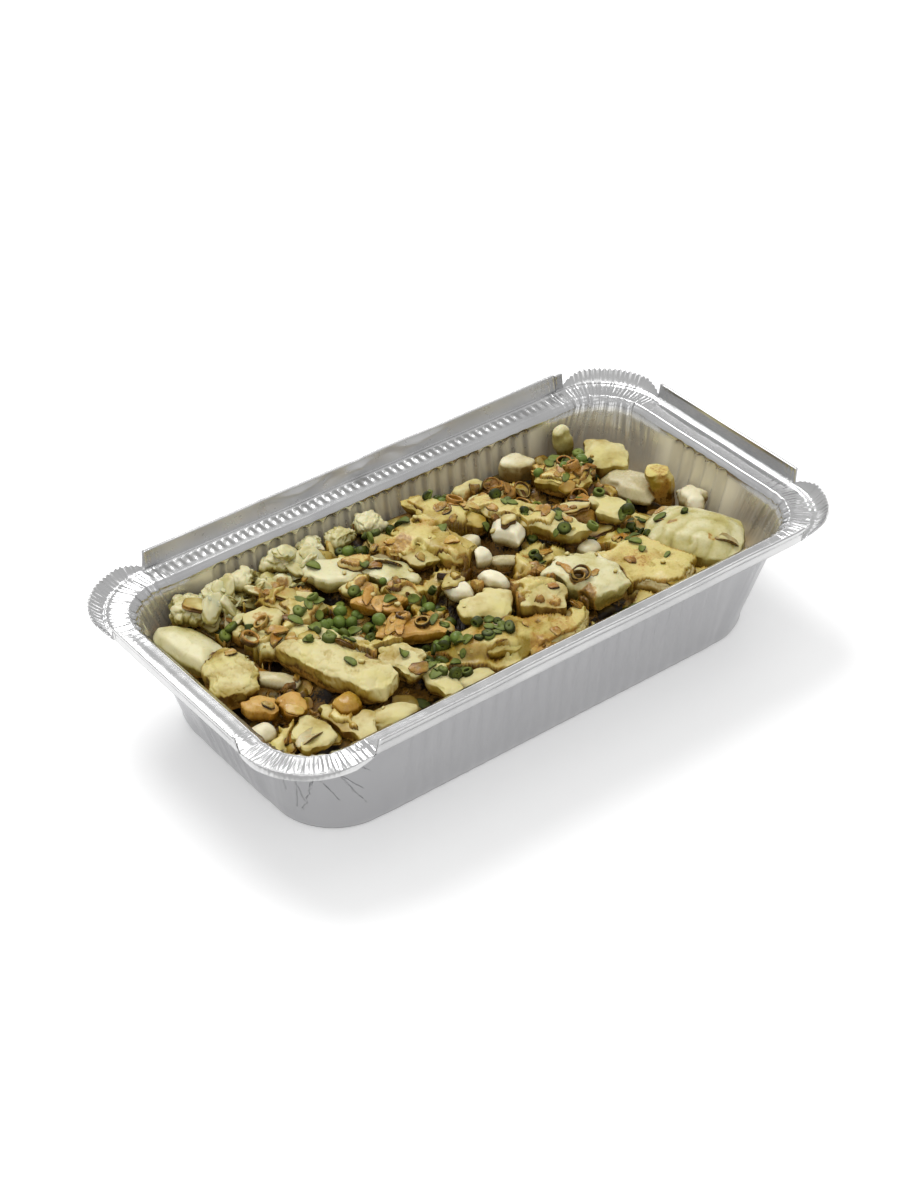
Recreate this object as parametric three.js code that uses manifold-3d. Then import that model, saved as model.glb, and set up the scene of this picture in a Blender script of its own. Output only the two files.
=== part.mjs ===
// A foil tray meal: a pressed foil takeaway tray filled with a baked, creamy heap.
// The tray is one shell with fluted walls, a flat rim, upright closing flaps and crimped corners.
// The heap is one core that follows the tray's inside, with small toppings fused to what they lie on.
// Larger toppings are separate pieces that rest on the core or lean on each other.
// Millimetres. X runs along the tray, Y across it, Z up; the origin is under the centre of the tray.
import * as THREE from "three";
import { mergeVertices } from "three/addons/utils/BufferGeometryUtils.js";
import Module from "manifold-3d";

const wasm = await Module();
wasm.setup();

// ---------------------------------------------------------------- driving dimensions
const FOIL = 0.5; // thickness of the tray's wall
const GAP = 0.35; // clear space between neighbouring solids
const TIDY = 0.14; // cut edges closer than this are merged
const RIM_HEIGHT = 39;
const FLAP_HEIGHT = 5.6;
const FLAP_LEAN = 0.6; // how far a flap's top edge stands outside its foot
const FLANGE_REACH = 4.4; // how far a crimped corner spreads outside the rim's edge
const FLANGE_RISE = 3.0;
const FLANGE_CRIMP = 0.45;
const FOLDED_CORNER = 2; // the corner towards -X and -Y, whose flange is folded down
const FOLD_REACH = 0.9;
const FOLD_DROP = 1.8;
const FLUTE_DEPTH = 1.3;
const FLUTE_PITCH = 4.6;
const FLUTES_ALONG = 27; // grooves on a long wall
const FLUTES_ACROSS = 6; // grooves on a short wall
const CORNER_STEPS = 6;

// A level of the tray is a rounded rectangle: half length, half width, corner radius, height.
const FLOOR = { hx: 86, hy: 41.4, r: 19.6, z: FOIL };
const FOOT = { hx: 87.2, hy: 42.6, r: 20.2, z: 5 };
const LIP = { hx: 95.3, hy: 46.3, r: 15.4, z: 36 };
const MOUTH = { hx: 97.5, hy: 48.3, r: 17, z: RIM_HEIGHT };
const RIM = { hx: 105, hy: 55.6, r: 24, z: RIM_HEIGHT };

const CAVITY_CLEAR = 0.55; // between the heap and the tray's wall
const CAVITY_TOP = 70;
const HEAP_CELL = 8.2;
const FULLNESS = 0.72; // under 1 squares the outline of a bite
const CRUMBS = 10;

// ---------------------------------------------------------------- small tools
// A repeatable draw of numbers from 0 to 1.
function randomFrom(seed) {
  let state = seed | 0;
  return () => {
    state = (state + 0x6d2b79f5) | 0;
    let t = Math.imul(state ^ (state >>> 15), 1 | state);
    t = (t + Math.imul(t ^ (t >>> 7), 61 | t)) ^ t;
    return ((t ^ (t >>> 14)) >>> 0) / 4294967296;
  };
}

const lerp = (a, b, t) => a + (b - a) * t;
const radians = THREE.MathUtils.degToRad;

// The level of the wall at a height between two levels.
function levelBetween(low, high, z) {
  const t = (z - low.z) / (high.z - low.z);
  return { hx: lerp(low.hx, high.hx, t), hy: lerp(low.hy, high.hy, t), r: lerp(low.r, high.r, t), z };
}

function solidFrom(points, triangles) {
  return new wasm.Manifold(
    new wasm.Mesh({
      numProp: 3,
      vertProperties: new Float32Array(points.flat()),
      triVerts: new Uint32Array(triangles.flat()),
    }),
  );
}

function solidOfGeometry(geometry) {
  const bare = geometry.clone();
  bare.deleteAttribute("normal");
  bare.deleteAttribute("uv");
  const merged = mergeVertices(bare, 1e-4);
  return new wasm.Manifold(
    new wasm.Mesh({
      numProp: 3,
      vertProperties: new Float32Array(merged.attributes.position.array),
      triVerts: new Uint32Array(merged.index.array),
    }),
  );
}

function geometryOf(solid) {
  const mesh = solid.getMesh();
  const positions = new Float32Array(mesh.numVert * 3);
  for (let i = 0; i < mesh.numVert; i++) {
    positions.set(mesh.vertProperties.subarray(i * mesh.numProp, i * mesh.numProp + 3), i * 3);
  }
  const geometry = new THREE.BufferGeometry();
  geometry.setAttribute("position", new THREE.BufferAttribute(positions, 3));
  geometry.setIndex(new THREE.BufferAttribute(new Uint32Array(mesh.triVerts), 1));
  return geometry;
}

// The largest connected piece of a solid; loose scraps are dropped.
function largestPiece(solid) {
  const pieces = solid.decompose();
  return pieces.reduce((best, piece) => (piece.volume() > best.volume() ? piece : best), pieces[0]);
}

// Joins two closed rings of points that run the same way round. Each point has a key that rises round
// the ring, and the joins follow the keys, so that one ring can have fewer points than the other.
function bandBetween(ringA, startA, ringB, startB) {
  const triangles = [];
  const [na, nb] = [ringA.length, ringB.length];
  let [i, j] = [0, 0];
  while (i < na || j < nb) {
    const nextA = i + 1 < na ? ringA[i + 1].key : 1e6 + (i + 1 - na);
    const nextB = j + 1 < nb ? ringB[j + 1].key : 1e6 + (j + 1 - nb);
    const [a, b] = [startA + (i % na), startB + (j % nb)];
    const [aNext, bNext] = [startA + ((i + 1) % na), startB + ((j + 1) % nb)];
    const [stepA, stepB] = [i < na && (nextA <= nextB || j >= nb), j < nb && (nextB <= nextA || i >= na)];
    if (stepA && stepB) triangles.push([a, aNext, bNext], [a, bNext, b]);
    else if (stepA) triangles.push([a, aNext, b]);
    else triangles.push([a, bNext, b]);
    i += stepA ? 1 : 0;
    j += stepB ? 1 : 0;
  }
  return triangles;
}

// A solid skinned over closed rings, in order from its start point to its end point.
function ringSolid(startPoint, rings, endPoint) {
  const keyed = rings.map((ring) => ring.map((p, i) => ({ key: p.key ?? i, point: p.point ?? p })));
  const points = [startPoint];
  const triangles = [];
  const starts = keyed.map((ring) => {
    points.push(...ring.map((p) => p.point));
    return points.length - ring.length;
  });
  points.push(endPoint);
  for (let k = 0; k + 1 < keyed.length; k++) {
    triangles.push(...bandBetween(keyed[k], starts[k], keyed[k + 1], starts[k + 1]));
  }
  const fan = (ring, start, tip, flip) =>
    ring.forEach((_, i) => {
      const [a, b] = [start + i, start + ((i + 1) % ring.length)];
      triangles.push(flip ? [tip, b, a] : [tip, a, b]);
    });
  fan(keyed[0], starts[0], 0, true);
  fan(keyed.at(-1), starts.at(-1), points.length - 1, false);
  return solidFrom(points, triangles);
}

// ---------------------------------------------------------------- stations round the tray
// A station is a place on the perimeter: on a straight wall, at a distance along it, or in a corner,
// at an angle. Stations run anticlockwise, from the middle of the +X wall.
function wallStations(flutes, side) {
  const stations = [];
  for (let i = 0; i <= 2 * flutes; i++) {
    const along = (i / 2 - flutes / 2) * FLUTE_PITCH;
    stations.push({ side, along, groove: i % 2 });
  }
  return stations;
}

function cornerStations(quarter) {
  const stations = [{ quarter, angle: 0, flap: true }];
  for (let i = 0; i <= CORNER_STEPS; i++) {
    const angle = lerp(1.5, 88.5, i / CORNER_STEPS);
    stations.push({ quarter, angle, crimp: i % 2 ? 1 : -1 });
  }
  stations.push({ quarter, angle: 90, flap: true });
  return stations;
}

function trayStations() {
  const stations = [];
  for (let quarter = 0; quarter < 4; quarter++) {
    stations.push(...wallStations(quarter % 2 ? FLUTES_ALONG : FLUTES_ACROSS, quarter));
    stations.push(...cornerStations(quarter));
  }
  return stations.map((station, key) => ({ ...station, key }));
}

// Where a station lies on a level grown outwards by some distance.
function pointAt(station, level, grow = 0) {
  const [hx, hy, r] = [level.hx + grow, level.hy + grow, level.r + grow];
  const turn = (x, y, quarter) => [[x, y], [-y, x], [-x, -y], [y, -x]][quarter];
  if (station.side !== undefined) {
    const reach = station.side % 2 ? hy : hx;
    return turn(reach, station.along, station.side);
  }
  const [cx, cy] = station.quarter % 2 ? [hy - r, hx - r] : [hx - r, hy - r];
  const angle = radians(station.angle);
  return turn(cx + r * Math.cos(angle), cy + r * Math.sin(angle), station.quarter);
}

function ringAt(stations, level, grow = 0, drop = 0) {
  return stations.map((s) => ({ key: s.key, point: [...pointAt(s, level, grow), level.z - drop] }));
}

// A ring across the flutes: grooves stand outside the ridges between them.
function fluteRing(stations, level, grow) {
  return stations.map((s) => {
    const out = grow + (s.groove ? FLUTE_DEPTH : 0);
    return { key: s.key, point: [...pointAt(s, level, out), level.z] };
  });
}

// The tray's outer edge: an upright flap on each straight side, a spread and crimped flange at each
// corner, which is widest half-way round.
function edgeRing(stations, grow) {
  return stations.map((s) => {
    if (s.crimp === undefined) {
      return { key: s.key, point: [...pointAt(s, RIM, FLAP_LEAN + grow), RIM_HEIGHT + FLAP_HEIGHT] };
    }
    const spread = Math.sin(radians(2 * s.angle)) ** 0.3;
    if (s.quarter === FOLDED_CORNER) {
      const reach = FOLD_REACH * spread + 0.5 * s.crimp * FLANGE_CRIMP - grow;
      return { key: s.key, point: [...pointAt(s, RIM, reach), RIM_HEIGHT - FOLD_DROP * spread] };
    }
    const rise = FLANGE_RISE + s.crimp * FLANGE_CRIMP - (grow ? 0.8 * FOIL : 0);
    const reach = FLANGE_REACH * spread + 0.5 * grow;
    return { key: s.key, point: [...pointAt(s, RIM, reach), RIM_HEIGHT + rise] };
  });
}

// The underside of the rim's edge. Under the folded flange it stands inside the fold.
function rimUnderside(stations) {
  return stations.map((s) => {
    const folded = s.crimp !== undefined && s.quarter === FOLDED_CORNER;
    return { key: s.key, point: [...pointAt(s, RIM, folded ? -FOIL : FOIL), RIM_HEIGHT - FOIL] };
  });
}

// The skin runs up the inside, over the edge and down the outside. Above the flutes and under them
// the straight sides need points only at their ends.
function foilTray() {
  const full = trayStations();
  const plain = full.filter((s) => s.quarter !== undefined);
  const fluteTop = levelBetween(FOOT, LIP, 34.2);
  const rings = [
    ringAt(full, FLOOR),
    fluteRing(full, FOOT, 0),
    fluteRing(full, fluteTop, 0),
    ringAt(full, LIP),
    ringAt(plain, MOUTH),
    ringAt(plain, RIM),
    edgeRing(plain, 0),
    edgeRing(plain, FOIL),
    rimUnderside(plain),
    ringAt(plain, MOUTH, FOIL * 0.6, FOIL),
    ringAt(full, LIP, FOIL),
    fluteRing(full, fluteTop, FOIL),
    fluteRing(full, FOOT, FOIL),
    ringAt(full, FLOOR, FOIL * 0.4, FOIL),
  ];
  return ringSolid([0, 0, FOIL], rings.map(turnedRound), [0, 0, 0]);
}

// The same ring, run the other way round.
function turnedRound(ring) {
  const last = ring.at(-1).key;
  return ring.map(({ key, point }) => ({ key: last - key, point })).reverse();
}

// ---------------------------------------------------------------- the heap
// The space inside the tray, grown upwards past the rim.
function cavity() {
  const stations = trayStations().filter((s) => s.quarter !== undefined);
  const bottom = { ...FLOOR, z: FLOOR.z + GAP };
  const levels = [bottom, FOOT, LIP, MOUTH, { ...MOUTH, z: CAVITY_TOP }];
  const rings = levels.map((level) => ringAt(stations, level, -CAVITY_CLEAR));
  return ringSolid([0, 0, bottom.z], rings, [0, 0, CAVITY_TOP]);
}

const swell = (x, y, width, depth) => Math.exp(-((x / width) ** 2) - (y / depth) ** 2);

// Height of the heap's bare core.
function heapHeight(x, y) {
  const crown = 3.2 * swell(x + 8, y - 2, 60, 28);
  const backRidge = 3.0 * swell(x + 42, y - 38, 46, 14);
  const leftDip = 4.5 * swell(x + 90, y - 2, 17, 40);
  const farHollow = 8.5 * swell(x - 95, y - 22, 24, 30);
  const rightDip = 10 * swell(x - 99, y + 22, 15, 34);
  const frontDip = 2.0 * swell(x, y + 50, 95, 11);
  const ripple = 0.9 * Math.cos(0.33 * x + 1.2 * Math.sin(0.19 * y)) * Math.cos(0.37 * y + 0.6);
  return 27 + crown + backRidge - leftDip - farHollow - rightDip - frontDip + ripple;
}

// A block under the heap's surface, raised by some distance.
function heapBlock(raise) {
  const halfX = MOUTH.hx + 2;
  const halfY = MOUTH.hy + 2;
  const nx = Math.round((2 * halfX) / HEAP_CELL);
  const ny = Math.round((2 * halfY) / HEAP_CELL);
  const points = [];
  for (const top of [false, true]) {
    for (let j = 0; j <= ny; j++) {
      for (let i = 0; i <= nx; i++) {
        const x = lerp(-halfX, halfX, i / nx);
        const y = lerp(-halfY, halfY, j / ny);
        points.push([x, y, top ? heapHeight(x, y) + raise : -5]);
      }
    }
  }
  const row = nx + 1;
  const layer = row * (ny + 1);
  const triangles = [];
  for (let j = 0; j < ny; j++) {
    for (let i = 0; i < nx; i++) {
      const a = j * row + i;
      const [b, c, d] = [a + 1, a + row, a + row + 1];
      triangles.push([a, d, b], [a, c, d]);
      triangles.push([layer + a, layer + b, layer + d], [layer + a, layer + d, layer + c]);
    }
  }
  const side = (p, q) => triangles.push([p, q, layer + q], [p, layer + q, layer + p]);
  for (let i = 0; i < nx; i++) {
    side(i, i + 1);
    side(ny * row + i + 1, ny * row + i);
  }
  for (let j = 0; j < ny; j++) {
    side(j * row + nx, (j + 1) * row + nx);
    side((j + 1) * row, j * row);
  }
  return solidFrom(points, triangles);
}

// ---------------------------------------------------------------- bites of food
// A bite's bellies, from below: [share of the outline, share of the half height].
const ROUND = [[0.82, -0.62], [1, 0.1], [0.7, 0.74]];
const SLAB = [[0.9, -0.9], [1, 0.2], [0.84, 0.9]];
const PLUMP = [[0.76, -0.66], [0.98, -0.15], [0.94, 0.36], [0.6, 0.8]];

// A bite round the origin: an uneven outline, rounded above and below. Taper narrows the +X end,
// and arch bends both ends down.
const fuller = (c) => Math.sign(c) * Math.abs(c) ** FULLNESS;

function biteSolid(bite, grow = 0) {
  const { size, belly, sides, uneven, arch, taper, seed } = bite;
  const random = randomFrom(seed);
  const waves = [2, 3, 4, 5].map((k) => ({
    k,
    share: (uneven * (0.4 + 0.6 * random())) / Math.sqrt(k - 1),
    phase: 2 * Math.PI * random(),
  }));
  const [length, width, height] = size.map((s) => s + 2 * grow);
  const drop = (x) => -arch * ((2 * x) / length) ** 2;
  const rings = belly.map(([share, level]) => {
    const ring = [];
    for (let i = 0; i < sides; i++) {
      const angle = (2 * Math.PI * i) / sides;
      const wave = waves.reduce((sum, w) => sum + w.share * Math.cos(w.k * angle + w.phase), 1);
      const reach = share * wave * (1 + 0.4 * uneven * (random() - 0.5));
      const x = 0.5 * length * reach * fuller(Math.cos(angle));
      const y = 0.5 * width * reach * fuller(Math.sin(angle)) * (1 - (taper * x) / length);
      ring.push([x, y, 0.5 * height * level + drop(x)]);
    }
    return ring;
  });
  return ringSolid([0, 0, -0.5 * height], rings, [0, 0, 0.5 * height]);
}

function placed(bite, grow = 0) {
  const [roll, pitch] = bite.tip;
  return biteSolid(bite, grow).rotate([roll, -pitch, bite.turn]).translate(bite.at);
}

let biteCount = 0;
// at: centre; turn: heading of the length in plan, degrees; size: length, width, height;
// tip: roll about the length and rise of the nose, degrees.
function bite(name, kind, at, turn, size, shape = {}) {
  biteCount += 1;
  const plain = { belly: ROUND, sides: 9, uneven: 0.1, arch: 0, taper: 0, tip: [0, 0] };
  return { ...plain, name, kind, at, turn, size, seed: 100 + biteCount, ...shape };
}

const flat = { belly: SLAB, uneven: 0.12 };

// Bites as large as a berry or larger. Each is cut to rest on the core and on those before it.
const TOPPINGS = [
  // the row along the back wall, over a long strip
  bite("cheese_strip_back", "cheese", [-47, 35, 27.8], -6, [50, 12, 7.5], { ...flat, sides: 13, uneven: 0.05 }),
  bite("dumpling_back_1", "cream", [-75, 39.5, 30], -20, [13, 13, 11]),
  bite("dumpling_back_2", "cream", [-64, 40.5, 30.5], 0, [11, 11, 10.5]),
  bite("dumpling_back_3", "cream", [-54.5, 41, 31], 20, [10, 10.5, 9.5]),
  bite("dumpling_back_4", "cream", [-40, 41, 31.2], 10, [12.5, 11, 9.5]),
  bite("dumpling_back_5", "cream", [-28.5, 41.2, 31.2], -15, [10.5, 10.5, 9]),
  bite("dumpling_back_6", "cream", [-18.3, 41, 31.2], 15, [9.5, 10, 8.5]),
  bite("dumpling_back_7", "cream", [-7, 41.5, 31], -10, [11.5, 10, 9]),

  // the left end
  bite("petal_left", "petal", [-82.5, 27, 26], -82, [26.5, 17, 12], { belly: PLUMP, uneven: 0.05, tip: [-28, 0], taper: -0.25 }),
  bite("chunk_left", "cream", [-82, 7, 28], 62, [23.5, 16, 11], { uneven: 0.13 }),
  bite("chunk_herb_left", "cream", [-66, 12.5, 29.5], -77, [16, 11.5, 9.5]),
  bite("egg_left", "cream", [-61, 19.5, 31], -65, [12.5, 12, 9.5]),
  bite("crescent_left", "cream", [-51, 20, 31.5], -66, [22.5, 11.5, 7.5], { ...flat, arch: 1.5 }),
  bite("chunk_back_left", "cream", [-55.5, 4.5, 31], -58, [19, 11.5, 8.5], { uneven: 0.13 }),
  bite("wedge_left", "cream", [-57, -11.5, 31], -68, [38, 15, 13], { belly: PLUMP, sides: 14, uneven: 0.07, taper: -0.35 }),
  bite("ball_amber", "baked", [-63.5, -25, 29.8], 0, [8, 9, 8], { belly: PLUMP, uneven: 0.03 }),
  bite("flake_front_left", "cream", [-66, -31, 27.5], -88, [21, 11.5, 6], { ...flat, uneven: 0.2, tip: [12, 0] }),
  bite("flake_corner", "cream", [-77.5, -27, 27], -70, [15, 14.5, 7.5], { ...flat, uneven: 0.22 }),
  bite("petal_orange_1", "carrot", [-75.5, -14, 28.2], -110, [12.5, 8, 7.5], { uneven: 0.15, tip: [20, 10] }),
  bite("petal_orange_2", "carrot", [-82, -9, 27.6], -60, [10.5, 7.5, 7.5], { uneven: 0.18, tip: [-20, 0] }),
  bite("strip_pale_left", "petal", [-72, -1, 28], -48, [20, 6, 5], { arch: 2, uneven: 0.06 }),

  // left of the middle
  bite("leaf_pale_1", "cream", [-31, 26, 32], -30, [20, 12, 7], { ...flat, arch: 1 }),
  bite("leaf_pale_2", "cream", [-19, 17, 32.6], -56, [21, 12, 5.5], { ...flat, arch: 1 }),
  bite("leaf_browned", "cream", [-10, 21, 33], -60, [25.5, 13, 8.5]),
  bite("slab_creamy", "cheese", [1, 17, 32], -78, [28.5, 16, 12], { ...flat, uneven: 0.08 }),
  bite("chunk_amber", "cream", [-30, 14, 31.5], -63, [14, 9, 7.5]),
  bite("carrot_upper", "carrot", [-30, 4.5, 32], -50, [16, 9, 6], flat),
  bite("carrot_lower", "carrot", [-30, -10.5, 32], -26, [20, 10, 6], flat),
  bite("star_herb", "cream", [-41, -21.5, 32], -40, [15, 14.5, 8.5], { uneven: 0.2, sides: 12 }),
  bite("curl_small", "petal", [-47, -8, 32], -110, [10.5, 6.5, 6], { arch: 1 }),
  bite("crust_front_left", "cream", [-36, -33.5, 30.2], -95, [18, 10, 6.5], { uneven: 0.2 }),

  // the middle
  bite("bean_1", "white", [-8, -5.5, 33.8], -72, [14, 9, 6.5], { arch: 0.6, uneven: 0.05 }),
  bite("bean_2", "white", [3.2, -8.5, 33.8], -72, [14, 9, 7], { arch: 0.6, uneven: 0.05 }),
  bite("bean_3", "white", [7.5, 4.5, 33.6], -66, [10.5, 9, 7], { arch: 0.4, uneven: 0.05 }),
  bite("frayed_cream", "cream", [-6, -17, 32.6], -30, [16, 14.5, 8.5], { uneven: 0.2, sides: 12 }),
  bite("slab_front", "cheese", [-12, -28.5, 30.6], -20, [23.5, 14.5, 6.5], { ...flat, uneven: 0.14 }),
  bite("roll_cream", "cream", [10, -23, 32], -48, [17, 16.5, 13], { belly: PLUMP }),
  bite("sheet_front", "baked", [7, -36, 29.6], 4, [24.5, 11, 6], flat),
  bite("white_browned", "cream", [27, -23, 32], -60, [27.5, 19.5, 12], { uneven: 0.13, sides: 12 }),
  bite("ridge_herb", "cheese", [13, 28, 33], -62, [29.5, 11.5, 8.5], { uneven: 0.12, sides: 12 }),
  bite("ridge_long", "cream", [33, 9, 33], -60, [39, 12, 9.5], { uneven: 0.09, sides: 12, taper: 0.25 }),
  bite("flower_white", "white", [22.5, 8.5, 33.6], 20, [10.5, 11, 8.5], { uneven: 0.16 }),

  // the right end
  bite("cube_back_right", "white", [50.5, 38.5, 30], 10, [9, 9, 8.5], { ...flat, uneven: 0.05 }),
  bite("oval_upright", "white", [71, 40, 30], 0, [7, 6.5, 16], { belly: PLUMP, uneven: 0.04, tip: [0, 4] }),
  bite("leaf_right", "cheese", [57.5, 24, 31], -62, [21, 16, 7], { ...flat, uneven: 0.12 }),
  bite("dome_right", "cream", [77.5, 27, 26.5], -40, [16, 16, 15], { belly: PLUMP }),
  bite("slope_right", "petal", [76.5, 12.5, 25.6], -66, [21, 14.5, 9.5]),
  bite("stick_yellow", "cheese", [81.5, 4, 28], -40, [8.5, 7.5, 19], { belly: SLAB, uneven: 0.08, tip: [0, 8] }),
  bite("crumble_right", "white", [88, -5, 25.4], -20, [10.5, 10.5, 8], { uneven: 0.22 }),
  bite("cream_lumps", "cream", [58, 0.5, 31], -50, [15, 11, 8.5], { uneven: 0.16 }),
  bite("dumpling_large", "cream", [71, -24.5, 27.6], -58, [32, 25.5, 18.5], { belly: PLUMP, sides: 14, uneven: 0.05 }),
  bite("sheet_right", "baked", [48.5, -29, 28.6], -62, [28.5, 23, 8.5], { ...flat, sides: 12, uneven: 0.06 }),
];

// Smaller bites, fused to the core.
const FUSED = [
  bite("cube", "cream", [-68.5, 22, 29], 10, [6.5, 6, 6.5], flat),
  bite("curl", "petal", [-70, 31.5, 28], -45, [17, 3.6, 3.4], { sides: 8 }),
  bite("strip", "baked", [-74.5, 8, 27.4], -57, [12, 4, 4], { sides: 8 }),
  bite("lump", "white", [-87, -16.5, 26.4], 0, [8, 7.5, 7.5], { sides: 8 }),
  bite("bud", "herb", [-47.5, -16, 31.4], 0, [6, 5.5, 5.5], { sides: 8 }),
  bite("chunk", "cream", [-20.5, 5.5, 32.4], -43, [14, 8, 7], { sides: 8 }),
  bite("cube", "white", [12, 14.5, 33.4], 20, [7, 6.5, 6.5], { ...flat, sides: 8 }),
  bite("bean", "petal", [14.5, 0.5, 32], -38, [11, 5, 5], { sides: 8 }),
  bite("ball", "white", [40.5, -9, 32], 0, [7, 6.5, 6], { sides: 8 }),
  bite("crisp", "crisp", [19.5, -10, 31.6], -50, [10, 6, 6], { uneven: 0.18, sides: 8 }),
  bite("tube", "crisp", [10.5, -10.5, 32.4], -60, [8, 6.5, 8], { sides: 8 }),
  bite("crisp", "crisp", [-4, -37, 29.6], 0, [10, 5.5, 6], { uneven: 0.15, sides: 8 }),
  bite("crisp", "crisp", [38, 30, 31.4], 10, [12, 6.5, 6], { uneven: 0.15, sides: 8 }),
  bite("crisp", "crisp", [48, 6.5, 32], -30, [12, 7, 6], { uneven: 0.15, sides: 8 }),
  bite("crisp", "crisp", [55, 10, 31.6], 20, [9, 6, 6.5], { uneven: 0.15, sides: 8 }),
  bite("crisp", "crisp", [66.5, 15, 29.6], -50, [14, 8, 6], { uneven: 0.15, sides: 8 }),
  bite("crisp", "crisp", [80, -11, 26], -20, [14, 6, 5], { uneven: 0.15, sides: 8 }),
  bite("chunk", "cream", [30, 37.5, 30.6], 0, [12, 7, 8], { uneven: 0.12, sides: 8 }),
  bite("chunk", "cream", [-26, -37, 29.4], 0, [13, 7, 6], { uneven: 0.12, sides: 8 }),
  bite("chunk", "cream", [-55, -36, 27.2], -20, [15, 8, 5], { uneven: 0.12, sides: 8 }),
];

// Where sliced herbs lie thick: [x, y, spread, how many].
const HERB_PATCHES = [
  [-41, 8, 9, 13], [-22, -4, 9, 7], [-24, -19, 8, 5], [-17, 31, 7, 4], [0, 31, 6, 4], [18, -2, 6, 3],
  [-27, -31, 6, 3], [40, -3, 6, 3], [60, -9, 7, 6], [67, 29, 7, 3], [35, 20, 9, 3], [-66, 24, 7, 3],
];

// A thin slice of a round stalk, or a crumb of crust, lying on the core.
function herbSlice(x, y, random) {
  const stalk = new THREE.CylinderGeometry(1, 1, 1, 6);
  const radius = lerp(1.7, 2.4, random());
  const height = lerp(1.8, 3.2, random());
  return solidOfGeometry(stalk)
    .scale([radius, height, radius])
    .rotate([lerp(40, 140, random()), 0, 360 * random()])
    .translate([x, y, heapHeight(x, y) + 0.9]);
}

function crumb(x, y, random) {
  const [a, b, c] = [0, 0, 0].map(() => lerp(1.3, 2.7, random()));
  return solidOfGeometry(new THREE.IcosahedronGeometry(1, 0))
    .scale([1.4 * a, b, 0.8 * c])
    .rotate([50 * random(), 50 * random(), 360 * random()])
    .translate([x, y, heapHeight(x, y) + 0.5]);
}

const boxesMeet = (a, b) =>
  [0, 1, 2].every((k) => a.min[k] < b.max[k] + GAP && b.min[k] < a.max[k] + GAP);

const clearOf = (solid, others) =>
  others.every((other) => {
    if (!boxesMeet(solid.boundingBox(), other.boundingBox())) return true;
    return solid.minGap(other, 2 * GAP) > GAP;
  });

function scatterOnCore(toppings) {
  const random = randomFrom(7);
  const bits = [];
  const room = cavity();
  const tryBit = (make, x, y) => {
    if (Math.abs(x) > MOUTH.hx - 8 || Math.abs(y) > MOUTH.hy - 7) return;
    const bit = make(x, y, random);
    if (clearOf(bit, toppings)) bits.push(bit.intersect(room));
  };
  for (const [x, y, spread, count] of HERB_PATCHES) {
    for (let i = 0; i < count; i++) {
      const [u, v] = [random(), random()].map((n) => 2 * n - 1);
      tryBit(herbSlice, x + u * spread, y + v * spread * 0.8);
    }
  }
  for (let i = 0; i < CRUMBS; i++) {
    const [u, v] = [random(), random()].map((n) => 2 * n - 1);
    tryBit(crumb, u * 88, v * 41);
  }
  return bits;
}

// ---------------------------------------------------------------- the meal
function buildToppings() {
  const room = cavity();
  const raisedCore = heapBlock(GAP);
  const taken = FUSED.map((b) => placed(b, GAP));
  return TOPPINGS.map((spec) => {
    const whole = placed(spec);
    const near = taken.filter((t) => boxesMeet(t.boundingBox(), whole.boundingBox()));
    const cut = wasm.Manifold.difference([whole, raisedCore, ...near]);
    taken.push(placed(spec, GAP));
    return { ...spec, solid: largestPiece(cut.intersect(room).simplify(TIDY)) };
  });
}

function buildHeap(toppings) {
  const room = cavity();
  const core = heapBlock(0).intersect(room);
  const fused = FUSED.map((b) => placed(b).intersect(room));
  const bits = scatterOnCore(toppings.map((t) => t.solid));
  return largestPiece(wasm.Manifold.union([core, ...fused, ...bits]).simplify(TIDY));
}

const finish = (color, roughness, metalness = 0) =>
  new THREE.MeshStandardMaterial({ color, roughness, metalness });

const MATERIALS = {
  foil: finish(0xc9c9cb, 0.3, 1),
  core: finish(0x6b4a24, 0.6),
  cream: finish(0xe6dbb0, 0.55),
  white: finish(0xece6d2, 0.5),
  cheese: finish(0xdcd798, 0.5),
  petal: finish(0xc3b487, 0.55),
  baked: finish(0xc69a4e, 0.5),
  carrot: finish(0xcf8a35, 0.5),
};

function part(name, solid, material) {
  const mesh = new THREE.Mesh(geometryOf(solid), material);
  mesh.name = name;
  return mesh;
}

const toppings = buildToppings();
const meal = new THREE.Group();
meal.name = "foil_tray_meal";
meal.add(part("foil_tray", foilTray(), MATERIALS.foil));
meal.add(part("food_heap", buildHeap(toppings), MATERIALS.core));
for (const { name, kind, solid } of toppings) meal.add(part(name, solid, MATERIALS[kind]));

export default meal;
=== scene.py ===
"""Looks of a foil tray meal: bright pressed foil round a baked, creamy heap with herbs and browned bits.

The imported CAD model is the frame. The tray is rebuilt with its smooth flutes, crimped corners and
wrinkles. Each bite keeps its CAD form and gets a torn, crumbly skin. Melted cream is draped over
the bites, and the heap's small things (lumps, curds, crisps, onion rings, shreds, peas, herb slices)
are seeded and lie on whatever is under them.
Lengths are in millimetres, and are turned into metres where a mesh is made.
"""

import math

import bmesh
import bpy
import numpy as np
from mathutils import Matrix, Vector
from mathutils.bvhtree import BVHTree


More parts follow.
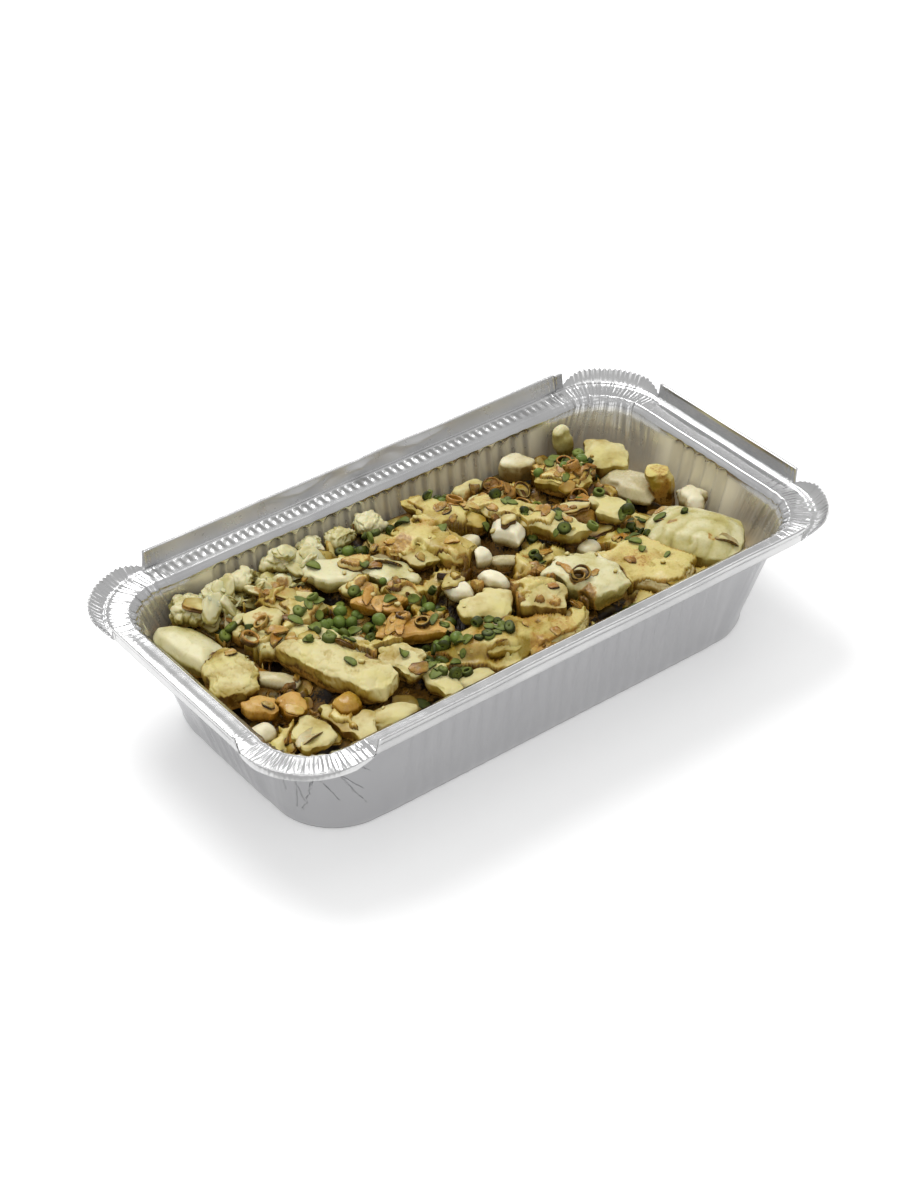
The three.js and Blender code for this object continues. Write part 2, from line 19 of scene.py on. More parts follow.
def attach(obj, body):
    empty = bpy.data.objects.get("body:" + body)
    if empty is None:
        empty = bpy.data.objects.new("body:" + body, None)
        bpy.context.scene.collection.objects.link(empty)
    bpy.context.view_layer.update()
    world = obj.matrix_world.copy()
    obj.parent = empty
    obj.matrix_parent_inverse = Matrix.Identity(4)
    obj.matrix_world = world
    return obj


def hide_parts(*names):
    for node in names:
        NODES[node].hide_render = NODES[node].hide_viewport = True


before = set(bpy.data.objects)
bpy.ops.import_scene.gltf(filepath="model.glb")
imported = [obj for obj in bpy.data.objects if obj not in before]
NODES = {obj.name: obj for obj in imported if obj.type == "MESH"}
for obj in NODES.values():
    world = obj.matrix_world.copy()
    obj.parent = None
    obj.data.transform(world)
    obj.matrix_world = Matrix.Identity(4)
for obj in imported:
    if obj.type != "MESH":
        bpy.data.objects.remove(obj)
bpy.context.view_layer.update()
MM = 0.001

# ---------------------------------------------------------------- tray dimensions, mm
FOIL = 0.42  # thickness
RIM_HEIGHT = 39.0
FLAP_HEIGHT = 5.5
FLAP_LEAN = (0.6, 1.4, 0.6, 0.6)  # how far each flap's edge stands out, from the +X wall on
HEM_HEIGHT = 1.7
HEM_BULGE = 0.34
FLUTE_DEPTH = 2.0
FLUTE_PITCH = 5.15
FLUTE_TOP = 37.0
FLUTE_DOME = 3.2
FLUTES = (5, 24)  # on a short wall, on a long wall
FLUTE_STEPS = 8
PLAIN_STEPS = (14, 22)  # beside the flutes, on a short wall and on a long wall
CORNER_STEPS = 104
PLEAT_ANGLE = 3.6  # degrees between crimps in a corner
RIDGE_PITCH = 2.9  # between the pressed ridges of the rim
# Levels of the tray: half length, half width, corner radius, height.
FLOOR = (85.2, 40.6, 19.0, 0.5)
FOOT = (87.2, 42.6, 20.2, 5.0)
LIP = (95.7, 46.5, 15.3, 37.6)
MOUTH = (97.5, 48.3, 17.0, RIM_HEIGHT)
RIM = (105.0, 55.6, 24.0, RIM_HEIGHT)
# A corner's flange: how far it spreads and how far it rises, for each quarter turn from +X+Y.
FLANGES = ((4.2, 3.2), (4.3, 2.6), (0.9, -1.8), (4.1, 3.5))
# How far each flap starts after and ends before the corners, anticlockwise from the +X wall.
FLAP_ENDS = ((-0.5, 0.0), (-3.0, 1.5), (0.0, 0.0), (5.0, -4.5))
# The crushed stretch of the +Y flap: places along X, and how far its edge leans out there.
CRUMPLE_AT = (-40, -31, -22, -12, -5, 1, 5, 15, 24, 36)
CRUMPLE_OUT = (0, 0.2, -1.2, 0.3, -0.2, -1.8, -0.4, 0.3, -1.4, 0)

# Rows of the tray's skin: heights on the walls; shares of the width or height of the other parts.
FLOOR_SHARES = (0.5, 0.9)
INNER_WALL = (5, 14, 20, 24, 27.5, 30, 32, 33.6, 34.5, 35.1, 35.6, 36.0, 36.4, 36.7, 37.0)
OUTER_WALL = (
    36.6, 35.6, 34.5, 33.3, 31.9, 30.3, 28.8, 27.2, 25.5, 23.7, 21.8, 19.6, 17.2, 14.6, 11.8, 8.4, 5,
)
RIM_SHARES = (0.04, 0.14, 0.25, 0.38, 0.52, 0.66, 0.78, 0.85, 0.9, 0.95, 1.0)
EDGE_SHARES = (0.06, 0.18, 0.34, 0.52, 0.66, 0.72, 0.84, 0.94, 1.0)
FOLD_TURNS = (0, 35, 65)  # degrees round the fold between floor and wall
LIP_SHARES = (0.0, 0.35, 0.7, 0.92)
RIM_UNDER = (0.97, 0.9, 0.5, 0.2)
LIP_UNDER = (0.9, 0.5, 0.0)

# Creases in the outside of the nearest corner: distance round it, top height, length, lean, depth
# as a share.
CREASES = (
    (-13, 31, 12, -0.1, 0.8), (-9.5, 32, 17, 0.06, 0.7), (-6, 30, 18, 0.16, 0.8), (-3.5, 32, 25, -0.12, 0.9),
    (0.5, 32, 20, 0.3, 0.7), (2.5, 32, 27, -0.3, 1.0), (5.5, 33, 18, 0.45, 1.0), (7, 33, 28, 0.2, 0.9),
    (10.5, 34, 14, 0.75, 0.9), (13, 34, 10, 1.2, 0.8), (15, 33, 8, 2.0, 0.7), (-17, 29, 10, -0.3, 0.6),
)

# ---------------------------------------------------------------- camera
CAMERA_AT = (-380.864, -479.373, 487.067)
CAMERA_RIGHT = (0.78726617, -0.61661332, 0.0)
CAMERA_UP = (0.37232064, 0.47536346, 0.79712416)
LENS = 75.37  # for a 36 mm sensor along the longer side


# ---------------------------------------------------------------- noise
def lattice(cell, seed):
    """A repeatable value from -1 to 1 at each whole-numbered point."""
    n = cell[:, 0] * 374761393 + cell[:, 1] * 668265263 + cell[:, 2] * 1440662683 + seed * 974634777
    n = (n ^ (n >> 13)) * 1274126177
    return ((n ^ (n >> 16)) & 0xFFFF) / 32767.5 - 1.0


def noise(points, wavelength, seed=0):
    """Smooth random waves of about -1 to 1."""
    p = np.asarray(points, float) / wavelength
    base = np.floor(p).astype(np.int64)
    f = p - base
    f = f * f * (3 - 2 * f)
    total = np.zeros(len(p))
    for corner in np.ndindex(2, 2, 2):
        share = np.prod(np.where(np.array(corner) == 1, f, 1 - f), axis=1)
        total += share * lattice(base + np.array(corner), seed)
    return total


def fractal(points, wavelength, octaves=3, seed=0):
    return sum(noise(points, wavelength / 2**k, seed + 17 * k) / 2**k for k in range(octaves))


def cells(points, size, seed=0):
    """Scattered cells of about this size: how far off the nearest middle is, how much farther the
    next one is (both in cell sizes), and the cell's own value from -1 to 1."""
    p = np.asarray(points, float) / size
    base = np.floor(p).astype(np.int64)
    near, second, value = np.full(len(p), 9.0), np.full(len(p), 9.0), np.zeros(len(p))
    for offset in np.ndindex(3, 3, 3):
        cell = base + np.array(offset) - 1
        place = cell + np.stack([0.5 + 0.42 * lattice(cell, seed + k) for k in range(3)], 1)
        off = np.sqrt(((place - p) ** 2).sum(1))
        closer = off < near
        second = np.where(closer, near, np.minimum(second, off))
        value = np.where(closer, lattice(cell, seed + 7), value)
        near = np.where(closer, off, near)
    return near, second - near, value


def patchwork(points, size, seed=0):
    """Irregular patches: each one's own value from -1 to 1, and 1 on the seams between them."""
    shift = np.stack([fractal(points, 0.6 * size, 2, seed + 3 * k) for k in range(3)], 1)
    _, gap, value = cells(points + 0.3 * size * shift, size, seed)
    return value, smooth_step(0.17, 0.03, gap)


def smooth_step(low, high, x):
    t = np.clip((np.asarray(x, float) - low) / (high - low), 0, 1)
    return t * t * (3 - 2 * t)


def swell(x, y, width, depth):
    return np.exp(-((x / width) ** 2) - (y / depth) ** 2)


# ---------------------------------------------------------------- meshes
class Skin:
    """Points in mm, faces of one or more widths, and values on the points for the shader."""

    def __init__(self, points, faces, **values):
        self.points = np.asarray(points, float)
        self.faces = [np.asarray(f, np.int64) for f in (faces if isinstance(faces, list) else [faces])]
        self.values = values

    def moved(self, rotation, at):
        self.points = self.points @ np.array(rotation).T + np.array(at)
        return self

    def normals(self):
        total = np.zeros_like(self.points)
        for faces in self.faces:
            corners = self.points[faces]
            normal = np.cross(corners[:, 1] - corners[:, 0], corners[:, -1] - corners[:, 0])
            for k in range(faces.shape[1]):
                np.add.at(total, faces[:, k], normal)
        return total / np.maximum(np.linalg.norm(total, axis=1, keepdims=True), 1e-12)

    def triangles(self):
        fans = [f[:, [0, k, k + 1]] for f in self.faces for k in range(1, f.shape[1] - 1)]
        return np.concatenate(fans)


def joined(skins):
    """Many skins as one, keeping the values that all of them have."""
    widths = sorted({f.shape[1] for s in skins for f in s.faces})
    faces = {w: [] for w in widths}
    start = 0
    for s in skins:
        for f in s.faces:
            faces[f.shape[1]].append(f + start)
        start += len(s.points)
    names = set.intersection(*[set(s.values) for s in skins])
    values = {
        n: np.concatenate([np.broadcast_to(s.values[n], (len(s.points),)) for s in skins]) for n in names
    }
    points = np.concatenate([s.points for s in skins])
    return Skin(points, [np.concatenate(faces[w]) for w in widths], **values)


def ring_faces(rings, n):
    """Faces over closed rings of n points, from a first point to a last one."""
    this, following = np.arange(n), (np.arange(n) + 1) % n
    quads = [
        np.stack([a + following, a + this, a + n + this, a + n + following], 1)
        for a in range(1, 1 + (rings - 1) * n, n)
    ]
    last = 1 + (rings - 1) * n
    first_fan = np.stack([np.zeros(n, int), 1 + this, 1 + following], 1)
    last_fan = np.stack([np.full(n, last + n), last + following, last + this], 1)
    return [np.concatenate([first_fan, last_fan]), np.concatenate(quads)]


def as_object(name, skin, material):
    widths = np.concatenate([np.full(len(f), f.shape[1], np.int32) for f in skin.faces])
    corners = np.concatenate([f.ravel() for f in skin.faces]).astype(np.int32)
    mesh = bpy.data.meshes.new(name)
    mesh.vertices.add(len(skin.points))
    mesh.vertices.foreach_set("co", (skin.points * MM).ravel())
    mesh.loops.add(len(corners))
    mesh.loops.foreach_set("vertex_index", corners)
    mesh.polygons.add(len(widths))
    mesh.polygons.foreach_set("loop_start", np.concatenate([[0], np.cumsum(widths)[:-1]]).astype(np.int32))
    mesh.update(calc_edges=True)
    mesh.polygons.foreach_set("use_smooth", np.ones(len(widths), bool))
    for key, value in skin.values.items():
        data = np.broadcast_to(value, (len(skin.points),)).astype(np.float32)
        mesh.attributes.new(key, "FLOAT", "POINT").data.foreach_set("value", data)
    mesh.materials.append(material)
    obj = bpy.data.objects.new(name, mesh)
    bpy.context.scene.collection.objects.link(obj)
    return obj


def add_piece(name, skin, material, nodes=()):
    """A finished piece: rides on the meal's one body, and stands for CAD nodes if any are named."""
    piece = as_object(name, skin, material)
    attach(piece, "root")
    if nodes:
        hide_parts(*nodes)


# ---------------------------------------------------------------- the tray
def mix(low, high, t):
    return tuple(a + (b - a) * t for a, b in zip(low, high))


def wall_level(z):
    """The wall's rounded rectangle at a height."""
    return mix(FOOT, LIP, (z - FOOT[3]) / (LIP[3] - FOOT[3]))


class Stations:
    """Places round the tray, anticlockwise from the -Y end of the +X wall."""

    def __init__(self):
        rows = []
        for quarter in range(4):
            zone = FLUTES[quarter % 2] * FLUTE_PITCH / 2
            steps = FLUTES[quarter % 2] * FLUTE_STEPS
            plain = PLAIN_STEPS[quarter % 2]
            rows += [(quarter, 0, -zone, -k / plain, 0) for k in range(plain, 0, -1)]
            rows += [(quarter, 0, -zone + k * FLUTE_PITCH / FLUTE_STEPS, 0, 0) for k in range(steps + 1)]
            rows += [(quarter, 0, zone, k / plain, 0) for k in range(1, plain + 1)]
            rows += [(quarter, 1, 0, 0, math.pi / 2 * k / CORNER_STEPS) for k in range(1, CORNER_STEPS)]
        quarter, corner, self.flute_at, self.stretch, self.angle = np.array(rows, float).T
        self.quarter, self.corner = quarter.astype(int), corner > 0
        self.plain = self.corner | (self.stretch != 0)
        self.zone = np.where(self.quarter % 2 == 0, FLUTES[0], FLUTES[1]) * FLUTE_PITCH / 2
        self.count = len(rows)
        self.mark_flaps()

    def half_straight(self, level):
        hx, hy, r, _ = level
        return np.where(self.quarter % 2 == 0, hy - r, hx - r)

    def along(self, level):
        """Distance along a straight wall from its middle."""
        return self.flute_at + self.stretch * (self.half_straight(level) - self.zone)

    def xy(self, level, grow=0.0):
        hx, hy, r, _ = level
        q = self.quarter
        reach = np.where(q % 2 == 0, hx, hy)
        side = np.where(q % 2 == 0, hy, hx)
        x = np.where(self.corner, reach - r + (r + grow) * np.cos(self.angle), reach + grow)
        y = np.where(self.corner, side - r + (r + grow) * np.sin(self.angle), self.along(level))
        return np.stack([np.choose(q, [x, -y, -x, y]), np.choose(q, [y, x, -y, -x])], 1)

    def at(self, level, grow, z):
        return np.column_stack([self.xy(level, grow), np.broadcast_to(z, (self.count,))])

    def round_corner(self, level):
        """Distance round the unfluted stretch at each corner, from the corner's middle."""
        half, arc = self.half_straight(level), level[2] * math.pi / 4
        here = self.along(level)
        straight = np.where(here > 0, here - half - arc, here + half + arc)
        return np.where(self.corner, level[2] * self.angle - arc, straight)

    def near_corner(self):
        """The corner each station belongs to: a wall's first half goes with the corner before it."""
        return np.where(~self.corner & (self.along(RIM) < 0), (self.quarter + 3) % 4, self.quarter)

    def mark_flaps(self):
        """Which stations carry an upright flap, and how far the others are from one."""
        half, arc = self.half_straight(RIM), RIM[2] * self.angle
        start, end = np.array(FLAP_ENDS).T
        here = self.along(RIM)
        past_end = np.where(self.corner, arc, here - half) + end[self.quarter]
        before_next = RIM[2] * math.pi / 2 - arc + start[(self.quarter + 1) % 4]
        before_start = -half - here + start[self.quarter]
        gap = np.where(self.corner, np.minimum(past_end, before_next), np.maximum(past_end, before_start))
        self.flap = gap <= 0
        self.from_flap = np.maximum(gap, 0)


def flute_phase(st):
    """From -1 to 1 across each groove."""
    return 2 * np.mod((st.flute_at + st.zone) / FLUTE_PITCH, 1) - 1


def flute_depth(st, z):
    """How far a groove stands outside the ridges: a dome at its top, shallower towards its foot."""
    over = max((z - (FLUTE_TOP - FLUTE_DOME)) / FLUTE_DOME, 0)
    groove = np.clip(1 - (flute_phase(st) / 0.86) ** 2 - over**2, 0, 1) ** 0.55
    deep = 0.35 + 0.65 * smooth_step(8, 32, z)
    return np.where(st.plain, 0, FLUTE_DEPTH * groove * deep * smooth_step(-1, 6, z))


def outside_flutes(st, z):
    """The same grooves from outside, where the folds between them are soft."""
    wave = np.where(st.plain, 0, 0.5 + 0.5 * np.cos(math.pi * flute_phase(st)))
    beside = np.abs(st.stretch) * (st.half_straight(LIP) - st.zone)
    fade = np.where(st.corner, 0, smooth_step(12, 0, beside))
    top = smooth_step(FLUTE_TOP + 0.5, FLUTE_TOP - 1.5, z)
    deep = 0.45 + 0.55 * np.clip((z - 4) / 30, 0, 1)
    return FLUTE_DEPTH * top * deep * smooth_step(-1, 6, z) * fade * (0.7 + 0.3 * wave)


def fold_wave(x):
    """Sharp-edged waves of 0 to 1."""
    return np.abs(2 * np.mod(x, 1) - 1) ** 1.3


def corner_wrinkles(st, z):
    """Folds where the foil was gathered into the corners, strongest just under the lip."""
    at = st.round_corner(MOUTH)
    window = smooth_step(21, 13, np.abs(at)) * st.plain
    shifts = np.random.default_rng(5).uniform(0, 1, (3, 4))
    total = np.zeros(st.count)
    for k, (pitch, share) in enumerate(((5.3, 0.5), (3.1, 0.42), (1.9, 0.26))):
        wobble = noise(np.stack([at, st.quarter * 40.0, np.full(st.count, z / 9)], 1), 6, 3)
        total += share * (fold_wave(at / pitch + shifts[k][st.quarter] + 0.35 * wobble) - 0.5)
    length = 13 + 9 * noise(np.stack([at, st.quarter * 40.0, 0 * at], 1), 3.1, 4)
    return window * (0.08 + 1.1 * smooth_step(36 - length, 36, z)) * total


def dents(st, level, z):
    points = st.at(level, 0, z)
    return 0.3 * noise(points, 24, 11) + 0.1 * noise(points, 8, 12)


def wall_row(st, z, grow=0.0):
    level = wall_level(z)
    out = (outside_flutes(st, z) if grow else flute_depth(st, z)) + corner_wrinkles(st, z)
    out = out + smooth_step(0.5, 6, z) * dents(st, level, z)
    return st.at(level, out + grow, z)


def fold_row(st, turn, grow=0.0, drop=0.0):
    """Round the fold between floor and wall, at a turn in degrees; the flutes run on into it."""
    out, up = math.sin(math.radians(turn)), 1 - math.cos(math.radians(turn))
    flutes = outside_flutes(st, 3.0) if grow else flute_depth(st, 3.0)
    z = FLOOR[3] + (FOOT[3] - FLOOR[3]) * up
    return st.at(mix(FLOOR, FOOT, out), out * flutes + grow, z - drop)


def lip_row(st, t, grow=0.0):
    """Between the flutes' tops and the mouth, rounding over on to the rim."""
    z = LIP[3] + (MOUTH[3] - LIP[3]) * (1 - (1 - t) ** 1.25)
    out = (1 - t) ** 0.45 * corner_wrinkles(st, LIP[3]) + (1 - t) * dents(st, LIP, LIP[3])
    return st.at(mix(LIP, MOUTH, t), out + grow + 0.35 * math.sin(math.pi * t), z)


def rim_row(st, t, drop=0.0):
    """Across the rim: crimps at the corners, pressed ridges on the +Y side, beads along the rest."""
    level = mix(MOUTH, RIM, t)
    place = np.where(st.corner, st.round_corner(RIM), st.along(RIM))
    pitch = np.where(st.corner, math.radians(PLEAT_ANGLE) * RIM[2], RIDGE_PITCH)
    depth = np.where(st.corner, 0.1, np.where(st.quarter == 1, 0.24, 0))
    ridge = np.cos(2 * math.pi * (place / pitch + 0.35 * (t - 0.5)))
    window = np.where(
        st.corner, smooth_step(0.14, 0.3, t) * smooth_step(0.82, 0.7, t),
        smooth_step(0.3, 0.42, t) * smooth_step(0.76, 0.66, t),
    )
    bead = np.where(st.near_corner() == 2, 0.0, 0.35) * math.exp(-(((t - 0.9) / 0.055) ** 2))
    step = np.where(st.corner | (st.quarter == 1), 0, 0.3 * math.exp(-(((t - 0.5) / 0.09) ** 2)))
    waves = 0.12 * noise(st.at(level, 0, RIM_HEIGHT), 13, 21)
    return st.at(level, 0, RIM_HEIGHT - drop + depth * window * ridge + bead + step + waves)


def crumple(base, f):
    """Crushed foil on part of the +Y flap: a few broad facets between slanting folds."""
    x = base[:, 0] + 7 * (f - 0.5) * np.sin(base[:, 0] / 7.0)
    lean = np.interp(x, CRUMPLE_AT, CRUMPLE_OUT)
    bent = 1.6 * np.sin(math.pi * min(1.15 * f, 1.0)) + 0.2 * f
    return np.where(base[:, 1] > 0, lean * bent, 0)


def edge_row(st, f, back=False):
    """Up the flaps, or out along the crimped corner flanges, at a share f of their height."""
    reach, rise = np.array(FLANGES)[st.near_corner()].T
    folded = rise < 0
    base = st.at(RIM, 0, RIM_HEIGHT)
    hem = HEM_BULGE if f > 1 - HEM_HEIGHT / FLAP_HEIGHT else 0
    flap_out = np.array(FLAP_LEAN)[st.quarter] * f + f * (0.3 * noise(base, 19, 41) + crumple(base, f))
    flap_out = flap_out + (FOIL + hem if back else -0.12 * hem)
    flap_up = FLAP_HEIGHT * f + f * 0.15 * noise(base, 15, 42)
    pleat = np.cos(2 * math.pi * st.round_corner(RIM) / (math.radians(PLEAT_ANGLE) * RIM[2]))
    pleat = (pleat + 0.5 * noise(base, 2.2, 43)) * np.where(folded, 0.4, 1)
    spread = np.clip(st.from_flap / 7, 0, 1) ** 0.5
    fullest = 0.52 + 0.48 * np.where(st.corner, np.sin(2 * st.angle), 0)
    flange_out = spread * fullest * reach * f**0.85 + 0.12 * pleat * f
    flange_up = spread * (rise * f**1.15 + np.where(folded, 0.1, 0.34) * pleat * f)
    if back:
        flange_out = flange_out + np.where(folded, -FOIL, 0.5 * FOIL)
        flange_up = flange_up - np.where(folded, 0, 0.75 * FOIL)
    out, up = np.where(st.flap, flap_out, flange_out), np.where(st.flap, flap_up, flange_up)
    return st.at(RIM, out, RIM_HEIGHT + np.minimum(up, FLAP_HEIGHT + 0.05))


def floor_row(st, share, z):
    return st.at(FLOOR, 0, z) * np.array([share, share, 1])


def tray_rows(st):
    """The tray's rows by part, in order: from inside its floor, over its edge, to under its floor."""
    return (
        ("floor", [floor_row(st, s, FLOOR[3]) for s in FLOOR_SHARES]),
        ("fold", [fold_row(st, turn) for turn in FOLD_TURNS]),
        ("wall", [wall_row(st, z) for z in INNER_WALL]),
        ("lip", [lip_row(st, t) for t in LIP_SHARES]),
        ("rim", [rim_row(st, t) for t in RIM_SHARES]),
        ("edge", [edge_row(st, f) for f in EDGE_SHARES]),
        ("edge_back", [edge_row(st, f, back=True) for f in EDGE_SHARES[::-1]]),
        ("rim_under", [rim_row(st, t, FOIL) for t in RIM_UNDER]),
        ("lip_under", [lip_row(st, t, FOIL) for t in LIP_UNDER]),
        ("outside", [wall_row(st, z, FOIL) for z in OUTER_WALL]),
        ("outside", [fold_row(st, turn, 0.7 * FOIL, FLOOR[3]) for turn in FOLD_TURNS[::-1]]),
        ("outside", [floor_row(st, s, 0.0) for s in FLOOR_SHARES[::-1]]),
    )


def tray_values(st, part, z):
    """Where the foil has its dull film, partly steam and partly painted light; where it is gathered and
    creased; and the painted shade over the outside flutes: on rows of these parts and heights.
    """
    wall, edge, outside = part == "wall", part == "edge", part == "outside"
    above = ~np.isin(part, ("floor", "fold", "wall", "outside"))
    round_by, phase = st.round_corner(MOUTH), flute_phase(st)
    # Painted shade: one side of each groove is kept free of the film, so it stays shiny and looks darker.
    painted_shade_side = np.where(st.plain, 0, 0.6 * np.exp(-(((phase + 0.62) / 0.26) ** 2)))
    by_corner = smooth_step(24, 14, np.abs(round_by)) * st.plain
    beside_corner = smooth_step(31, 20, np.abs(round_by)) * st.plain
    # Painted shade in soft stripes over the outside flutes, offset across each groove.
    wave = np.where(st.plain, 0, np.cos(math.pi * (phase + 0.4)))
    names = ("steamed", "gathered", "creased", "round", "fluted", "outside")
    on = {name: np.zeros(z.shape) for name in names}
    # The dull, pale film on the inner walls: partly a real matte side, partly painted light that brightens
    # them.
    on["steamed"][wall] = (1 - painted_shade_side) * smooth_step(37.2, 34.8, z[wall])
    # Painted light: a thinner film on the +Y flap lightens it.
    on["steamed"][edge] = 0.55 * (st.quarter == 1) * st.flap
    on["gathered"][wall] = beside_corner * smooth_step(16, 32, z[wall])
    on["gathered"][above] = by_corner
    on["creased"][outside] = by_corner * (st.near_corner() == 2)
    on["round"][:] = round_by
    on["fluted"][outside] = wave * smooth_step(34, 24, z[outside])
    on["outside"][outside] = 1
    return {name: np.concatenate([[0], value.ravel(), [0]]) for name, value in on.items()}


def tray_skin():
    """The whole tray as one closed skin of foil."""
    st = Stations()
    parts = tray_rows(st)
    rows = [row for _, group in parts for row in group]
    part = np.array([name for name, group in parts for _ in group])
    values = tray_values(st, part, np.stack([row[:, 2] for row in rows]))
    points = np.concatenate([[[0, 0, FLOOR[3]]]] + rows + [[[0, 0, 0]]])
    return Skin(points, ring_faces(len(rows), st.count), **values)


# ---------------------------------------------------------------- materials
def srgb(r, g, b):
    """A colour given as it looks on screen, 0 to 255, in linear light."""
    return tuple(((c / 255 + 0.055) / 1.055) ** 2.4 if c > 10 else c / 3294 for c in (r, g, b)) + (1.0,)


class Nodes:
    """Short names for building a shader."""

    def __init__(self, name):
        self.material = bpy.data.materials.new(name)
        self.material.use_nodes = True
        self.tree = self.material.node_tree
        self.shader = self.tree.nodes["Principled BSDF"]

    def set(self, **inputs):
        for key, value in inputs.items():
            self.shader.inputs[key.replace("_", " ")].default_value = value

    def add(self, kind, **settings):
        node = self.tree.nodes.new("ShaderNode" + kind)
        for key, value in settings.items():
            setattr(node, key, value)
        return node

    def link(self, source, target):
        self.tree.links.new(source, target)

    def feed(self, socket, source):
        self.link(source, self.shader.inputs[socket])

    def noise(self, size_mm, detail=3.0, roughness=0.55):
        """Noise with features of about this size, in the object's own space."""
        node = self.add("TexNoise")
        node.inputs["Scale"].default_value = 1 / (size_mm * MM)
        node.inputs["Detail"].default_value = detail
        node.inputs["Roughness"].default_value = roughness
        self.link(self.add("TexCoord").outputs["Object"], node.inputs["Vector"])
        return node.outputs["Fac"]

    def height_mm(self):
        split = self.add("SeparateXYZ")
        self.link(self.add("TexCoord").outputs["Object"], split.inputs["Vector"])
        return self.math("DIVIDE", split.outputs["Z"], MM)

    def rays(self, size_mm, run):
        """Noise in streaks that run down a corner, by the distance round it."""
        where = self.add("CombineXYZ")
        self.link(self.value("round"), where.inputs["X"])
        self.link(self.times(self.height_mm(), run), where.inputs["Z"])
        node = self.add("TexNoise")
        node.inputs["Scale"].default_value = 1 / size_mm
        node.inputs["Detail"].default_value = 2
        self.link(where.outputs["Vector"], node.inputs["Vector"])
        return node.outputs["Fac"]

    def creases(self, lines, width):
        """1 on thin straight creases, by their places round a corner and their heights."""
        height, total = self.height_mm(), None
        here = self.varied(self.value("round"), self.noise(5, 2), 1.1)
        for place, top, length, lean, depth in lines:
            down = self.math("SUBTRACT", top, height)
            off = self.math("SUBTRACT", self.math("SUBTRACT", here, place), self.times(down, lean))
            near = self.spread(self.math("ABSOLUTE", off, 0), 0, width, depth, 0)
            beside = self.math("ABSOLUTE", self.math("SUBTRACT", down, length / 2), 0)
            line = self.times(near, self.spread(beside, 0.35 * length, 0.5 * length, 1, 0))
            total = line if total is None else self.math("MAXIMUM", total, line)
        return total

    def value(self, name):
        return self.add("Attribute", attribute_name=name).outputs["Fac"]

    def math(self, operation, a, b, clamp=False):
        node = self.add("Math", operation=operation, use_clamp=clamp)
        for socket, item in zip(node.inputs, (a, b)):
            if isinstance(item, (int, float)):
                socket.default_value = item
            else:
                self.link(item, socket)
        return node.outputs["Value"]

    def times(self, a, b):
        return self.math("MULTIPLY", a, b)

    def varied(self, base, source, amount, clamp=False):
        """A value, moved up and down by a noise."""
        return self.math("ADD", base, self.times(self.math("SUBTRACT", source, 0.5), amount), clamp)

    def spread(self, source, low, high, to_low=0.0, to_high=1.0):
        """A source's range from low to high, laid out over another range."""
        node = self.add("MapRange", clamp=True)
        for key, number in zip(("From Min", "From Max", "To Min", "To Max"), (low, high, to_low, to_high)):
            node.inputs[key].default_value = number
        self.link(source, node.inputs["Value"])
        return node.outputs["Result"]

    def ramp(self, source, stops):
        """stops: (place, colour) from low to high."""
        node = self.add("ValToRGB")
        elements = node.color_ramp.elements
        while len(elements) < len(stops):
            elements.new(0.5)
        for element, (place, colour) in zip(elements, stops):
            element.position, element.color = place, colour
        self.link(source, node.inputs["Fac"])
        return node.outputs["Color"]

    def blend(self, share, a, b):
        node = self.add("Mix", data_type="RGBA")
        self.link(share, node.inputs["Factor"])
        for socket, item in ((node.inputs["A"], a), (node.inputs["B"], b)):
            if isinstance(item, tuple):
                socket.default_value = item
            else:
                self.link(item, socket)
        return node.outputs["Result"]

    def bump(self, heights):
        """heights: (source, depth in mm), the widest waves first."""
        previous = None
        for source, depth in heights:
            node = self.add("Bump")
            node.inputs["Strength"].default_value = 1.0
            node.inputs["Distance"].default_value = depth * MM
            self.link(source, node.inputs["Height"])
            if previous is not None:
                self.link(previous, node.inputs["Normal"])
            previous = node.outputs["Normal"]
        self.link(previous, self.shader.inputs["Normal"])


def foil_material():
    """Bright foil: duller and paler under a film, partly steam and partly painted light, with painted shade
    on one side of each groove, in stripes over the outside flutes and on the outside; finely gathered and
    creased at the corners.
    """
    m = Nodes("pressed_foil")
    gathered, steamed = m.value("gathered"), m.value("steamed")
    # Painted shade: stripes over the outside flutes shift the foil's colour.
    place = m.math("ADD", m.noise(14, 3), m.times(m.value("fluted"), 0.17))
    shade = m.ramp(place, ((0.1, srgb(194, 194, 195)), (0.9, srgb(220, 220, 219))))
    # dull: the film, thinner in the gathered corners, which leaves them shinier and darker.
    dull = m.times(steamed, m.math("SUBTRACT", 1.0, m.times(gathered, 0.6)))
    below_rim = m.spread(m.height_mm(), 37.5, 39, 0.8, 0)
    shade = m.blend(m.times(dull, below_rim), shade, srgb(244, 236, 204))
    # Painted shade: the outside of the tray gets a darker base colour.
    shade = m.blend(m.times(m.value("outside"), 0.8), shade, srgb(176, 176, 178))
    m.feed("Base Color", shade)
    rough = m.spread(m.noise(5, 3), 0.3, 0.7, 0.18, 0.26)
    m.feed("Roughness", m.math("ADD", rough, m.times(dull, 0.14)))
    m.feed("Metallic", m.math("SUBTRACT", 1.0, m.times(dull, 0.88)))
    folds = m.times(m.rays(1.5, 0.03), gathered)
    pleats = m.times(m.rays(4.5, 0.04), m.times(gathered, steamed))
    creases = m.times(m.creases(CREASES, 0.45), m.value("creased"))
    m.bump(((m.noise(11, 2), 0.12), (pleats, 1.2), (folds, 0.45), (creases, -0.4)))
    return m.material


